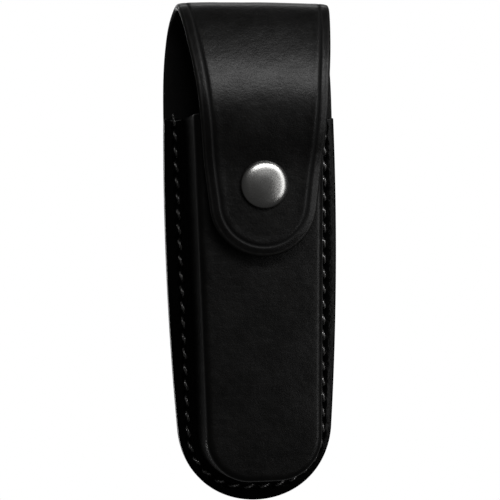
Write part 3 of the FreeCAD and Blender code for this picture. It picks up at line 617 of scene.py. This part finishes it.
def front_rows():
    """The right half of the box's root, from the mouth down to the middle of the toe."""
    top = (BOX_HALF, MOUTH_Z + 9.6)
    touch, turn = touch_below(top, BOX_CORNER, BOX_CORNER_R)
    heights = [MOUTH_Z - LIP_R * (1 - math.sin(a)) for a in LIP_TURNS]
    count = int((heights[-1] - touch[1]) / ROW_STEP)
    heights += list(np.linspace(heights[-1], touch[1], count)[1:])
    slope = (top[0] - touch[0]) / (top[1] - touch[1])
    side = [(touch[0] + (z - touch[1]) * slope, z - TOE_Z) for z in heights]
    centre = (BOX_CORNER[0], BOX_CORNER[1] - TOE_Z)
    return tongue_rows(
        side, centre, BOX_CORNER_R, turn, -1, 58, centre[1] + 4.0,
        np.linspace(BOX_CORNER[0], 0, 12)[1:],
    )


def front_faces():
    """Points of the panel's front and back face, for its right half."""
    _, side_touch, _ = panel_side(0.0)
    faces = []
    for place, inward, medial in front_rows():
        width = flange_width(place, inward, side_touch[1])
        face = []
        for profile in front_profile(width):
            at = np.array(place) + np.array(inward) * profile[:, :1]
            at = at + (np.array(medial) - at) * profile[:, 2:]
            face.append(np.stack([at[:, 0], profile[:, 1], at[:, 1] + TOE_Z], axis=1))
        faces.append(face)
    return [np.array([face[i] for face in faces]) for i in (0, 1)]


def make_front(materials):
    front, back = front_faces()
    across = unit(back - front)
    wall_end = int(np.argmax(front[20, :, 1] > FLANGE_FACE - 0.4))
    for i, angle in enumerate(LIP_TURNS):
        draw = LIP_R * (1 - math.cos(angle))
        front[i] += across[i] * draw
        back[i] -= across[i] * draw
    for face in (front, back):
        on_box = face[..., 1] < -20.0
        face[..., 1] -= front_crown(face[..., 0], face[..., 2]) * on_box
    on_flange = smooth((front[..., 1] + 5.3) / 0.4)
    front[..., 1] += dimples(front) * on_flange
    uneven = np.array([
        noise.noise(Vector(p / UNEVEN_REACH)) for p in front.reshape(-1, 3)
    ]).reshape(front.shape[:-1])
    front[..., 1] += uneven * UNEVEN * smooth((-front[..., 1] - 6) / 4)
    built = Builder()
    # Painted shade in the awl's slots: the leather's colour is darkened where it is drawn in.
    press = np.clip(dimples(front) * on_flange * 2, 0, 1)
    for sign in (1, -1):
        flip = np.array([sign, 1, 1])
        one, other = front * flip, back * flip
        slots = [GRAIN] * wall_end + [FLANGE] * (one.shape[1] - 1 - wall_end)
        ids = built.grid(one, one, slots, press)
        backs = built.grid(other, other, [FLESH] * (one.shape[1] - 1), 0.0)
        for i in range(len(ids) - 1):
            built.face([ids[i][-1], backs[i][-1], backs[i + 1][-1], ids[i + 1][-1]], EDGE)
        for j in range(len(ids[0]) - 1):
            built.face([ids[0][j], backs[0][j], backs[0][j + 1], ids[0][j + 1]], EDGE)
    obj = built.object("front_leather", materials)
    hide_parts("front_panel")
    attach(obj, "sheath")
    return obj


# ---- stitches ---------------------------------------------------------------------------------

# Each ply's radius and its distance from the thread's middle, and the length of a full twist.
STRAND_R, STRAND_OFF, TWIST = 0.36, 0.2, 2.6
STRAND_SIDES = 7
# How far a stitch's ends lie to either side of its line, for each seam, as seen along the seam.
FRONT_SLANT, REAR_SLANT, TAB_SLANT = -0.6, 0.28, 0.2
# Where the stitches lie (y): in the flange's groove, in the back panel, and on the loop's tabs.
FRONT_BED, REAR_BED, TAB_BED, TAB_BED_INSIDE = FLANGE_FACE + 0.1, -0.3, 2.2, -2.4
# The loop's tabs: holes this far in from its edges, rows this far apart, and their spacing.
TAB_IN, TAB_IN_END, TAB_ROWS, TAB_STITCH = 2.6, 2.0, 5.0, 4.0


def strand(built, path, phase):
    """One of a thread's two plies, wound round the path."""
    path = spline(path, 0.22)
    along = arc_lengths(path)
    way = unit(np.gradient(path, axis=0))
    side = unit(np.cross(way, (0.3, 0.1, 1.0)))
    over = np.cross(way, side)
    turn = phase + along / TWIST * 2 * math.pi
    middle = path + STRAND_OFF * (side * np.cos(turn)[:, None] + over * np.sin(turn)[:, None])
    ring = np.linspace(0, 2 * math.pi, STRAND_SIDES + 1)[:-1]
    points = np.array([
        middle + STRAND_R * (side * math.cos(a) + over * math.sin(a)) for a in ring
    ])
    first = len(built.points)
    count = len(path)
    for around in points:
        built.points.extend(around)
        built.rests.extend(around)
    for i in range(STRAND_SIDES):
        a, b = first + i * count, first + (i + 1) % STRAND_SIDES * count
        for j in range(count - 1):
            built.face([a + j, b + j, b + j + 1, a + j + 1], 0)
    for end in (0, count - 1):
        built.face([first + i * count + end for i in range(STRAND_SIDES)], 0)


def lying(length):
    """Heights of a stitch that lies on the face from hole to hole."""
    return [
        (0.28, -1.1), (0.5, -0.2), (0.95, 0.42), (1.8, 0.36), (0.55 * length, 0.04),
        (length - 1.0, -0.08), (length - 0.5, -0.4), (length - 0.28, -1.1),
    ]


def bridging(length):
    """Heights of a stitch that shows only between two slots."""
    half = [(0.85, -1.15), (1.15, -0.5), (1.55, 0.14), (2.05, 0.5)]
    return half + [(length - d, lift - 0.1) for d, lift in reversed(half)]


def stitch_path(start, end, face, out, slant, rng, heights=lying):
    """A stitch between two holes (x, z) on a face that looks towards out (+1 or -1 along y)."""
    start, end = np.array(start, float), np.array(end, float)
    way = unit(end - start)
    aside = np.array([-way[1], way[0]]) * slant
    length = np.linalg.norm(end - start)
    shift = rng.uniform(-0.06, 0.06, 2)
    points = []
    for d, lift in heights(length):
        share = d / length
        at = start + way * d + aside * (1 - 2 * share) + shift * math.sin(math.pi * share)
        points.append((at[0], face + out * lift, at[1]))
    return points


def make_stitches(name, node, paths):
    built = Builder()
    rng = np.random.default_rng(len(name))
    for path in paths(rng):
        phase = rng.uniform(0, 2 * math.pi)
        strand(built, path, phase)
        strand(built, path, phase + math.pi)
    obj = built.object(name, [THREAD])
    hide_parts(node)
    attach(obj, "sheath")


def front_stitches(rng):
    """Round the flange; the first and the last stitch go over the mouth's edge."""
    for i in range(1, len(SEAM) - 2):
        yield stitch_path(SEAM[i], SEAM[i + 1], FRONT_BED, -1, FRONT_SLANT, rng, bridging)
    for above, below in ((SEAM[0], SEAM[1]), (SEAM[-1], SEAM[-2])):
        x, z = above
        edge = MOUTH_Z + 0.3
        yield [
            (x, -1.6, z - 0.2), (x, -2.4, z - 0.45), (x, -2.95, z - 0.95), (x, -3.6, edge + 0.12),
            (x, -4.7, edge - 0.25), (x, -5.05, edge - 1.1), (below[0], -4.9, below[1] + 1.45),
            (below[0], -4.2, below[1] + 1.0), (below[0], -3.3, below[1] + 0.8),
        ]


def rear_stitches(rng):
    for start, end in zip(SEAM[:-1], SEAM[1:]):
        yield stitch_path(start, end, REAR_BED, 1, REAR_SLANT, rng)


def tab_holes(side):
    half, outer = LOOP_HALF - TAB_IN, LOOP_END - TAB_IN_END
    inner = outer - TAB_ROWS
    corners = [(half, outer), (-half, outer), (-half, inner), (half, inner), (half, outer)]
    holes = []
    for (x, z), (next_x, next_z) in zip(corners[:-1], corners[1:]):
        steps = max(1, round(math.dist((x, z), (next_x, next_z)) / TAB_STITCH))
        holes += [
            (x + (next_x - x) * k / steps, side * (z + (next_z - z) * k / steps))
            for k in range(steps)
        ]
    return holes + holes[:1]


def tab_stitches(side, face, out):
    def paths(rng):
        holes = tab_holes(side)
        for start, end in zip(holes[:-1], holes[1:]):
            yield stitch_path(start, end, face, out, TAB_SLANT, rng)
    return paths


# ---- snap cap ---------------------------------------------------------------------------------

# The cap against the CAD's, and how its dome falls away towards the edge.
CAP_SIZE = 1.05
DOME_DROP, DOME_POWER = 1.3, 2.3


def make_cap():
    """The domed cap with its rolled edge, turned finely about the snap's axis."""
    face, back = low("snap_cap", Y), high("snap_cap", Y)
    edge = CAP_SIZE * high("snap_cap", X)
    share = np.linspace(0, 0.86, 22)
    dome = [(edge * t, face + 0.05 + DOME_DROP * t**DOME_POWER) for t in share]
    roll = [(0.94 * edge, face + 1.32), (0.984 * edge, face + 1.7), (edge, face + 2.12)]
    under = [(0.985 * edge, back - 0.22), (0.95 * edge, back - 0.05), (0.9 * edge, back)]
    profile = spline([dome[0], dome[7], dome[14], dome[-1]] + roll + under, 0.12)
    profile[0, 0] = 0.0
    around = np.linspace(0, 2 * math.pi, 97)[:-1]
    built = Builder()
    for r, y in profile[1:]:
        for a in around:
            built.points.append((r * math.cos(a), y, SNAP_Z + r * math.sin(a)))
    built.points += [(0.0, profile[0, 1], SNAP_Z), (0.0, back, SNAP_Z)]
    built.rests = built.points
    count, rings = len(around), len(profile) - 1
    for j in range(count):
        after = (j + 1) % count
        for i in range(rings - 1):
            a, b = i * count, (i + 1) * count
            built.face([a + j, a + after, b + after, b + j], 0)
        built.face([rings * count, after, j], 0)
        last = (rings - 1) * count
        built.face([rings * count + 1, last + j, last + after], 0)
    obj = built.object("snap_cap_polished", [NICKEL])
    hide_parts("snap_cap")
    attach(obj, "flap")


# ---- belt loop --------------------------------------------------------------------------------

# The loop's leather, its creased line as for the strap, and the roundings of its edge and corners.
LOOP_THICK = 2.2
LOOP_CREASE, LOOP_CREASE_WIDE, LOOP_CREASE_DEEP = 2.6, 0.5, 0.2
LOOP_EDGE_R, LOOP_CORNER_R = 0.85, 3.2
# Lines of the loop's mesh, as for the strap.
LOOP_FINE = [0.85, 1.1, 1.4, 1.7, 2.0, 2.2, 2.4, 2.6, 2.8, 3.0, 3.3, 3.8, 4.4, 5.2]
LOOP_COARSE = [0.12, 0.3, 0.5, 0.75, 1.0]


def make_loop(materials):
    """A strip that lies on the back panel at both ends and stands off it between them."""
    half_thick = LOOP_THICK / 2
    tab_y, gap_y = half_thick + 0.02, LOOP_OUT - half_thick
    side = [(tab_y, LOOP_END), (tab_y, 33.0), (tab_y, 29.5)]
    side += [(1.7, 27.4), (3.3, 24.9), (5.3, 22.6), (6.7, 20.3), (gap_y, 17.0)]
    side += [(gap_y, z) for z in (12.0, 6.0, 0.0)]
    side += [(y, -z) for y, z in reversed(side[:-1])]
    middle = spline(side, 0.2)
    out = unit(np.gradient(middle, axis=0))
    out = np.stack([-out[:, 1], out[:, 0]], axis=1)
    s = arc_lengths(middle)
    length = s[-1]

    def place(flat):
        x, along, n = flat[..., 0], flat[..., 1] + length / 2, flat[..., 2]
        y, z = (
            np.interp(along, s, middle[:, i]) + n * np.interp(along, s, out[:, i]) for i in (0, 1)
        )
        return np.stack([x, y, z], axis=-1)

    def grain(d):
        groove = LOOP_CREASE_DEEP * bell(d - LOOP_CREASE, LOOP_CREASE_WIDE)
        return half_thick - 0.25 * (1 - float(smooth(d / 1.6))) - groove

    def flesh(d):
        return -half_thick + 0.05 * (1 - float(smooth(d / 1.4)))

    columns = sheet_columns(LOOP_CREASE, LOOP_EDGE_R, grain, flesh, LOOP_FINE, LOOP_COARSE)
    centre = (LOOP_HALF - LOOP_CORNER_R, length / 2 - LOOP_CORNER_R)
    upper = [(LOOP_HALF, along) for along in np.linspace(0, centre[1], 70)]
    floor = np.linspace(centre[0], 0, 22)[1:]
    quarter = tongue_rows(upper, centre, LOOP_CORNER_R, 0.0, 1, 10, length / 2 - 12.0, floor)
    rows = quarter + [mirror_row(row) for row in reversed(quarter[:-1])]
    lower = [tuple((a, -b) for a, b in row) for row in rows]
    obj = sheet_mesh("loop_leather", [rows, lower], columns, place, materials, caps=False)
    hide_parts("belt_loop")
    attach(obj, "sheath")


# ---- materials ------------------------------------------------------------------------------


class Nodes:
    """Short hands for building a material's node tree."""

    def __init__(self, name):
        self.material = bpy.data.materials.new(name)
        self.material.use_nodes = True
        self.tree = self.material.node_tree
        self.tree.nodes.clear()
        self.output = self.add("ShaderNodeOutputMaterial")
        self.shader = self.add("ShaderNodeBsdfPrincipled")
        self.join(self.shader.outputs[0], self.output.inputs["Surface"])

    def add(self, kind, **values):
        node = self.tree.nodes.new(kind)
        for name, value in values.items():
            setattr(node, name, value)
        return node

    def join(self, start, end):
        self.tree.links.new(start, end)

    def rest(self, stretch=(1, 1, 1)):
        """Place in the flat leather, in millimetres."""
        source = self.add("ShaderNodeAttribute", attribute_name="rest")
        scaled = self.add("ShaderNodeMapping")
        scaled.inputs["Scale"].default_value = [1000 * f for f in stretch]
        self.join(source.outputs["Vector"], scaled.inputs["Vector"])
        return scaled.outputs["Vector"]

    def object_place(self):
        source = self.add("ShaderNodeTexCoord")
        scaled = self.add("ShaderNodeMapping")
        scaled.inputs["Scale"].default_value = [1000] * 3
        self.join(source.outputs["Object"], scaled.inputs["Vector"])
        return scaled.outputs["Vector"]

    def noise(self, place, scale, detail=3.0, rough=0.55):
        node = self.add("ShaderNodeTexNoise")
        node.inputs["Scale"].default_value = scale
        node.inputs["Detail"].default_value = detail
        node.inputs["Roughness"].default_value = rough
        self.join(place, node.inputs["Vector"])
        return node.outputs["Fac"]

    def cells(self, place, scale, feature="F1"):
        node = self.add("ShaderNodeTexVoronoi", feature=feature)
        node.inputs["Scale"].default_value = scale
        self.join(place, node.inputs["Vector"])
        return node.outputs["Distance"]

    def curve(self, value, low, high, out_low=0.0, out_high=1.0):
        node = self.add("ShaderNodeMapRange")
        node.inputs["From Min"].default_value = low
        node.inputs["From Max"].default_value = high
        node.inputs["To Min"].default_value = out_low
        node.inputs["To Max"].default_value = out_high
        self.join(value, node.inputs["Value"])
        return node.outputs["Result"]

    def math(self, operation, a, b):
        node = self.add("ShaderNodeMath", operation=operation)
        for value, socket in ((a, node.inputs[0]), (b, node.inputs[1])):
            if isinstance(value, (int, float)):
                socket.default_value = value
            else:
                self.join(value, socket)
        return node.outputs[0]

    def mix(self, share, dark, light):
        node = self.add("ShaderNodeMix", data_type="RGBA")
        node.inputs[6].default_value = (*dark, 1)
        node.inputs[7].default_value = (*light, 1)
        self.join(share, node.inputs[0])
        return node.outputs[2]

    def bump(self, height, distance, strength=1.0, below=None):
        node = self.add("ShaderNodeBump")
        node.inputs["Distance"].default_value = distance
        node.inputs["Strength"].default_value = strength
        self.join(height, node.inputs["Height"])
        if below is not None:
            self.join(below, node.inputs["Normal"])
        return node.outputs["Normal"]


def grain_leather(name, dark, light, ior, rough):
    """Black, softly burnished grain side, rougher and darkened by painted shade in its creases and
    awl slots.
    """
    n = Nodes(name)
    place = n.rest()
    mottle = n.noise(place, 0.075, 4.0, 0.6)
    cloud = n.noise(place, 0.4, 4.0, 0.6)
    fine = n.noise(place, 2.6, 4.0, 0.65)
    pebble = n.cells(place, 1.35)
    pores = n.cells(place, 0.85)
    scuff = n.noise(n.rest((0.18, 1.4, 1)), 0.9, 3.0, 0.7)
    tone = n.math("ADD", n.math("MULTIPLY", mottle, 0.6), n.math("MULTIPLY", cloud, 0.4))
    colour = n.mix(n.curve(tone, 0.35, 0.68), dark, light)
    press = n.add("ShaderNodeAttribute", attribute_name="press").outputs["Fac"]
    # Painted shade: the colour goes towards near black in creases and awl slots.
    painted_shade_mix = n.add("ShaderNodeMix", data_type="RGBA")
    painted_shade_mix.inputs[7].default_value = (0.0008, 0.0008, 0.0008, 1)
    n.join(press, painted_shade_mix.inputs[0])
    n.join(colour, painted_shade_mix.inputs[6])
    n.join(painted_shade_mix.outputs[2], n.shader.inputs["Base Color"])
    broad = n.curve(tone, 0.35, 0.7, rough, rough + 0.09)
    gloss = n.math("ADD", broad, n.curve(fine, 0.3, 0.7, -0.05, 0.06))
    gloss = n.math("ADD", gloss, n.curve(scuff, 0.52, 0.75, 0.0, 0.08))
    gloss = n.math("ADD", gloss, n.math("MULTIPLY", press, 0.5))
    n.join(gloss, n.shader.inputs["Roughness"])
    soft = n.bump(cloud, 0.00024, 0.5)
    grain = n.bump(n.curve(pebble, 0.0, 0.6), 0.00005, 0.32, soft)
    pitted = n.bump(n.curve(pores, 0.0, 0.16), 0.00004, 0.4, grain)
    n.join(n.bump(fine, 0.00005, 0.36, pitted), n.shader.inputs["Normal"])
    n.shader.inputs["IOR"].default_value = ior
    return n.material


def edge_leather():
    """Dyed and burnished cut edge: smoother, with faint lines along it."""
    n = Nodes("leather_edge")
    place = n.rest()
    cloud = n.noise(place, 0.6, 3.0)
    fibres = n.noise(n.rest((1, 1, 6)), 1.2, 3.0)
    colour = n.mix(n.curve(cloud, 0.35, 0.65), (0.004, 0.0038, 0.0036), (0.009, 0.0085, 0.008))
    n.join(colour, n.shader.inputs["Base Color"])
    n.join(n.curve(fibres, 0.3, 0.7, 0.36, 0.52), n.shader.inputs["Roughness"])
    n.join(n.bump(fibres, 0.0001, 0.5, n.bump(cloud, 0.00012, 0.4)), n.shader.inputs["Normal"])
    return n.material


def flesh_leather():
    """Dyed flesh side: matt, with short fibres."""
    n = Nodes("leather_flesh")
    place = n.rest()
    cloud = n.noise(place, 0.22, 4.0)
    nap = n.noise(place, 3.2, 5.0, 0.7)
    share = n.math("ADD", n.math("MULTIPLY", cloud, 0.5), n.math("MULTIPLY", nap, 0.5))
    colour = n.mix(n.curve(share, 0.36, 0.64), (0.0022, 0.002, 0.0019), (0.006, 0.0055, 0.005))
    n.join(colour, n.shader.inputs["Base Color"])
    n.join(n.curve(nap, 0.3, 0.7, 0.82, 0.97), n.shader.inputs["Roughness"])
    n.join(n.bump(nap, 0.00025, 0.8), n.shader.inputs["Normal"])
    return n.material


def nickel(name, base, rough):
    """Satin nickel plate: faint turning marks round the snap's axis and small scratches."""
    n = Nodes(name)
    place = n.object_place()
    rings = n.add("ShaderNodeVectorMath", operation="SUBTRACT")
    rings.inputs[1].default_value = (0, 0, SNAP_Z)
    n.join(place, rings.inputs[0])
    flat = n.add("ShaderNodeVectorMath", operation="MULTIPLY")
    flat.inputs[1].default_value = (1, 0, 1)
    n.join(rings.outputs[0], flat.inputs[0])
    length = n.add("ShaderNodeVectorMath", operation="LENGTH")
    n.join(flat.outputs[0], length.inputs[0])
    away = n.add("ShaderNodeCombineXYZ")
    n.join(length.outputs["Value"], away.inputs[0])
    marks = n.noise(away.outputs[0], 9.0, 4.0, 0.7)
    cloud = n.noise(place, 0.35, 3.0)
    grit = n.noise(place, 6.0, 3.0, 0.7)
    colour = n.mix(n.curve(cloud, 0.3, 0.7), tuple(0.9 * c for c in base), base)
    n.join(colour, n.shader.inputs["Base Color"])
    n.shader.inputs["Metallic"].default_value = 1.0
    turned = n.curve(marks, 0.3, 0.7, rough - 0.03, rough + 0.05)
    gloss = n.math("ADD", turned, n.curve(grit, 0.3, 0.7, -0.03, 0.03))
    n.join(gloss, n.shader.inputs["Roughness"])
    n.join(n.bump(grit, 0.000015, 0.4, n.bump(marks, 0.00001, 0.4)), n.shader.inputs["Normal"])
    return n.material


def thread_material():
    """Waxed black twist."""
    n = Nodes("thread_waxed")
    place = n.object_place()
    fibre = n.noise(place, 5.0, 4.0, 0.65)
    wax = n.noise(place, 0.8, 2.0)
    colour = n.mix(n.curve(fibre, 0.3, 0.7), (0.04, 0.039, 0.038), (0.12, 0.117, 0.114))
    n.join(colour, n.shader.inputs["Base Color"])
    n.join(n.curve(wax, 0.35, 0.65, 0.16, 0.26), n.shader.inputs["Roughness"])
    n.shader.inputs["IOR"].default_value = 1.9
    n.shader.inputs["Coat Weight"].default_value = 0.9
    n.shader.inputs["Coat Roughness"].default_value = 0.16
    n.shader.inputs["Coat IOR"].default_value = 1.7
    n.join(n.bump(fibre, 0.00006, 0.6), n.shader.inputs["Normal"])
    return n.material


LEATHER = [
    grain_leather("leather_grain", (0.0026, 0.0025, 0.0024), (0.0062, 0.0059, 0.0056), 1.42, 0.33),
    edge_leather(),
    flesh_leather(),
    grain_leather("leather_pressed", (0.0012, 0.0012, 0.0011), (0.0026, 0.0025, 0.0024), 1.2, 0.16),
]
THREAD = thread_material()
NICKEL = nickel("nickel_satin", (0.63, 0.625, 0.61), 0.26)
SPRING = nickel("spring_wire", (0.4, 0.4, 0.41), 0.22)


# ---- pieces ---------------------------------------------------------------------------------


def fold_line(name):
    return next(j for j in frame["joints"] if j["name"] == name)["pos_m"]


def bend_between(obj, a, b, joint, turned, before, after):
    """Looks up the fold's place and bakes the piece's transform into its mesh."""
    centre = Vector(fold_line(joint))
    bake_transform(obj)


# The strap's three pieces: what makes each, the bodies it joins, the fold between them, how far the
# leather has turned forward there, and how far the bend reaches before and after the fold.
STRAP_PIECES = [
    (make_back, "sheath", "rear_fold", "fold_rear", 30.0, 5.0, 3.4),
    (make_crest, "rear_fold", "top_fold", "fold_top", 90.0, 4.6, 3.7),
    (make_flap, "top_fold", "flap", "fold_front", 150.0, 5.8, 5.8),
]
for make, *bend in STRAP_PIECES:
    bend_between(make(LEATHER), *bend)

make_front(LEATHER)
make_loop(LEATHER)
make_cap()
make_stitches("seam_stitches_front", "seam_thread_front", front_stitches)
make_stitches("seam_stitches_rear", "seam_thread_rear", rear_stitches)
for place, side in (("upper", 1), ("lower", -1)):
    for layer, face, out in (("outer", TAB_BED, 1), ("inner", TAB_BED_INSIDE, -1)):
        name = f"loop_{place}_stitches_{layer}"
        make_stitches(name, f"loop_{place}_thread_{layer}", tab_stitches(side, face, out))

for name, node in frame["nodes"].items():
    if name.startswith("snap_"):
        node.data.materials.clear()
        node.data.materials.append(SPRING if name == "snap_spring_ring" else NICKEL)


# ---- stage, light and camera, in metres -------------------------------------------------------

# The floor's radius, height and glow, and the dim room's light ahead of and behind the sheath.
FLOOR_R, FLOOR_Z, FLOOR_GLOW = 1.5, -0.34, 0.78
ROOM_AHEAD, ROOM_BEHIND = 0.03, 0.16

# Soft lamps, as (name, place, aimed at, size across and up, watts).
LAMPS = [
    ("softbox", (0.22, -0.78, 0.66), (0, 0, 0.03), (0.9, 0.22), 4.0),
    ("side_right", (0.63, -0.71, 0.2), (0, 0, 0), (0.28, 1.1), 2.0),
    ("rim_above", (0, 0.62, 0.82), (0, 0, 0.05), (0.8, 0.5), 1.4),
    ("behind", (-0.25, 0.95, 0.12), (0, 0, 0), (0.3, 0.9), 2.5),
]

# The camera: level, a little to the left of straight ahead, and leaning slightly.
LENS, SENSOR = 111.1, 36.0
CAMERA_TURN, CAMERA_LEAN = math.radians(-9.5), math.radians(-1.09)
CAMERA_AWAY, CAMERA_AIM = 0.5, Vector((0, 0, -7.0 * MM))


def make_floor():
    """A plain pale disc, well below the sheath, which hangs on a belt and does not stand. It is
    evenly lit through and throws no light up, so the black leather above keeps its depth."""
    n = Nodes("floor_pale")
    n.shader.inputs["Base Color"].default_value = (0.2, 0.2, 0.2, 1)
    n.shader.inputs["Roughness"].default_value = 0.9
    n.shader.inputs["Emission Color"].default_value = (1, 1, 1, 1)
    n.shader.inputs["Emission Strength"].default_value = FLOOR_GLOW
    around = np.linspace(0, 2 * math.pi, 97)[:-1]
    ring = [(FLOOR_R * math.cos(a), FLOOR_R * math.sin(a), FLOOR_Z) for a in around]
    mesh = bpy.data.meshes.new("floor")
    mesh.from_pydata(ring, [], [list(range(len(ring)))])
    mesh.materials.append(n.material)
    floor = link(bpy.data.objects.new("floor", mesh))
    floor.visible_diffuse = False
    floor.visible_glossy = False


def make_world():
    """White to the eye, as on a light table; for everything else a dim room, brighter behind."""
    world = bpy.data.worlds.new("studio")
    bpy.context.scene.world = world
    world.use_nodes = True
    tree = world.node_tree
    tree.nodes.clear()
    output = tree.nodes.new("ShaderNodeOutputWorld")
    seen, room = tree.nodes.new("ShaderNodeBackground"), tree.nodes.new("ShaderNodeBackground")
    seen.inputs["Color"].default_value = (1, 1, 1, 1)
    place = tree.nodes.new("ShaderNodeTexCoord")
    split = tree.nodes.new("ShaderNodeSeparateXYZ")
    tree.links.new(place.outputs["Generated"], split.inputs[0])
    ramp = tree.nodes.new("ShaderNodeMapRange")
    ramp.interpolation_type = "SMOOTHSTEP"
    ramp.inputs["From Min"].default_value = 0.3
    ramp.inputs["From Max"].default_value = 1.0
    ramp.inputs["To Min"].default_value = ROOM_AHEAD
    ramp.inputs["To Max"].default_value = ROOM_BEHIND
    tree.links.new(split.outputs["Y"], ramp.inputs["Value"])
    room.inputs["Color"].default_value = (1, 1, 1, 1)
    tree.links.new(ramp.outputs["Result"], room.inputs["Strength"])
    path, mixed = tree.nodes.new("ShaderNodeLightPath"), tree.nodes.new("ShaderNodeMixShader")
    tree.links.new(path.outputs["Is Camera Ray"], mixed.inputs[0])
    tree.links.new(room.outputs[0], mixed.inputs[1])
    tree.links.new(seen.outputs[0], mixed.inputs[2])
    tree.links.new(mixed.outputs[0], output.inputs["Surface"])


def area_light(name, place, aim, size, watts):
    light = bpy.data.lights.new(name, "AREA")
    light.shape = "RECTANGLE"
    light.size, light.size_y = size
    light.energy = watts
    obj = link(bpy.data.objects.new(name, light))
    obj.location = place
    obj.rotation_euler = (Vector(aim) - Vector(place)).to_track_quat("-Z", "Y").to_euler()


def make_camera():
    data = bpy.data.cameras.new("camera")
    data.lens = LENS
    data.sensor_width = SENSOR
    camera = link(bpy.data.objects.new("camera", data))
    back_from = Vector((math.sin(CAMERA_TURN), -math.cos(CAMERA_TURN), 0))
    camera.location = CAMERA_AIM + back_from * CAMERA_AWAY
    upright = (-back_from).to_track_quat("-Z", "Y")
    camera.rotation_mode = "QUATERNION"
    camera.rotation_quaternion = upright @ Quaternion(Vector((0, 0, 1)), CAMERA_LEAN)
    bpy.context.scene.camera = camera


make_floor()
make_world()
for lamp in LAMPS:
    area_light(*lamp)
make_camera()
bpy.context.scene.view_settings.view_transform = "Standard"
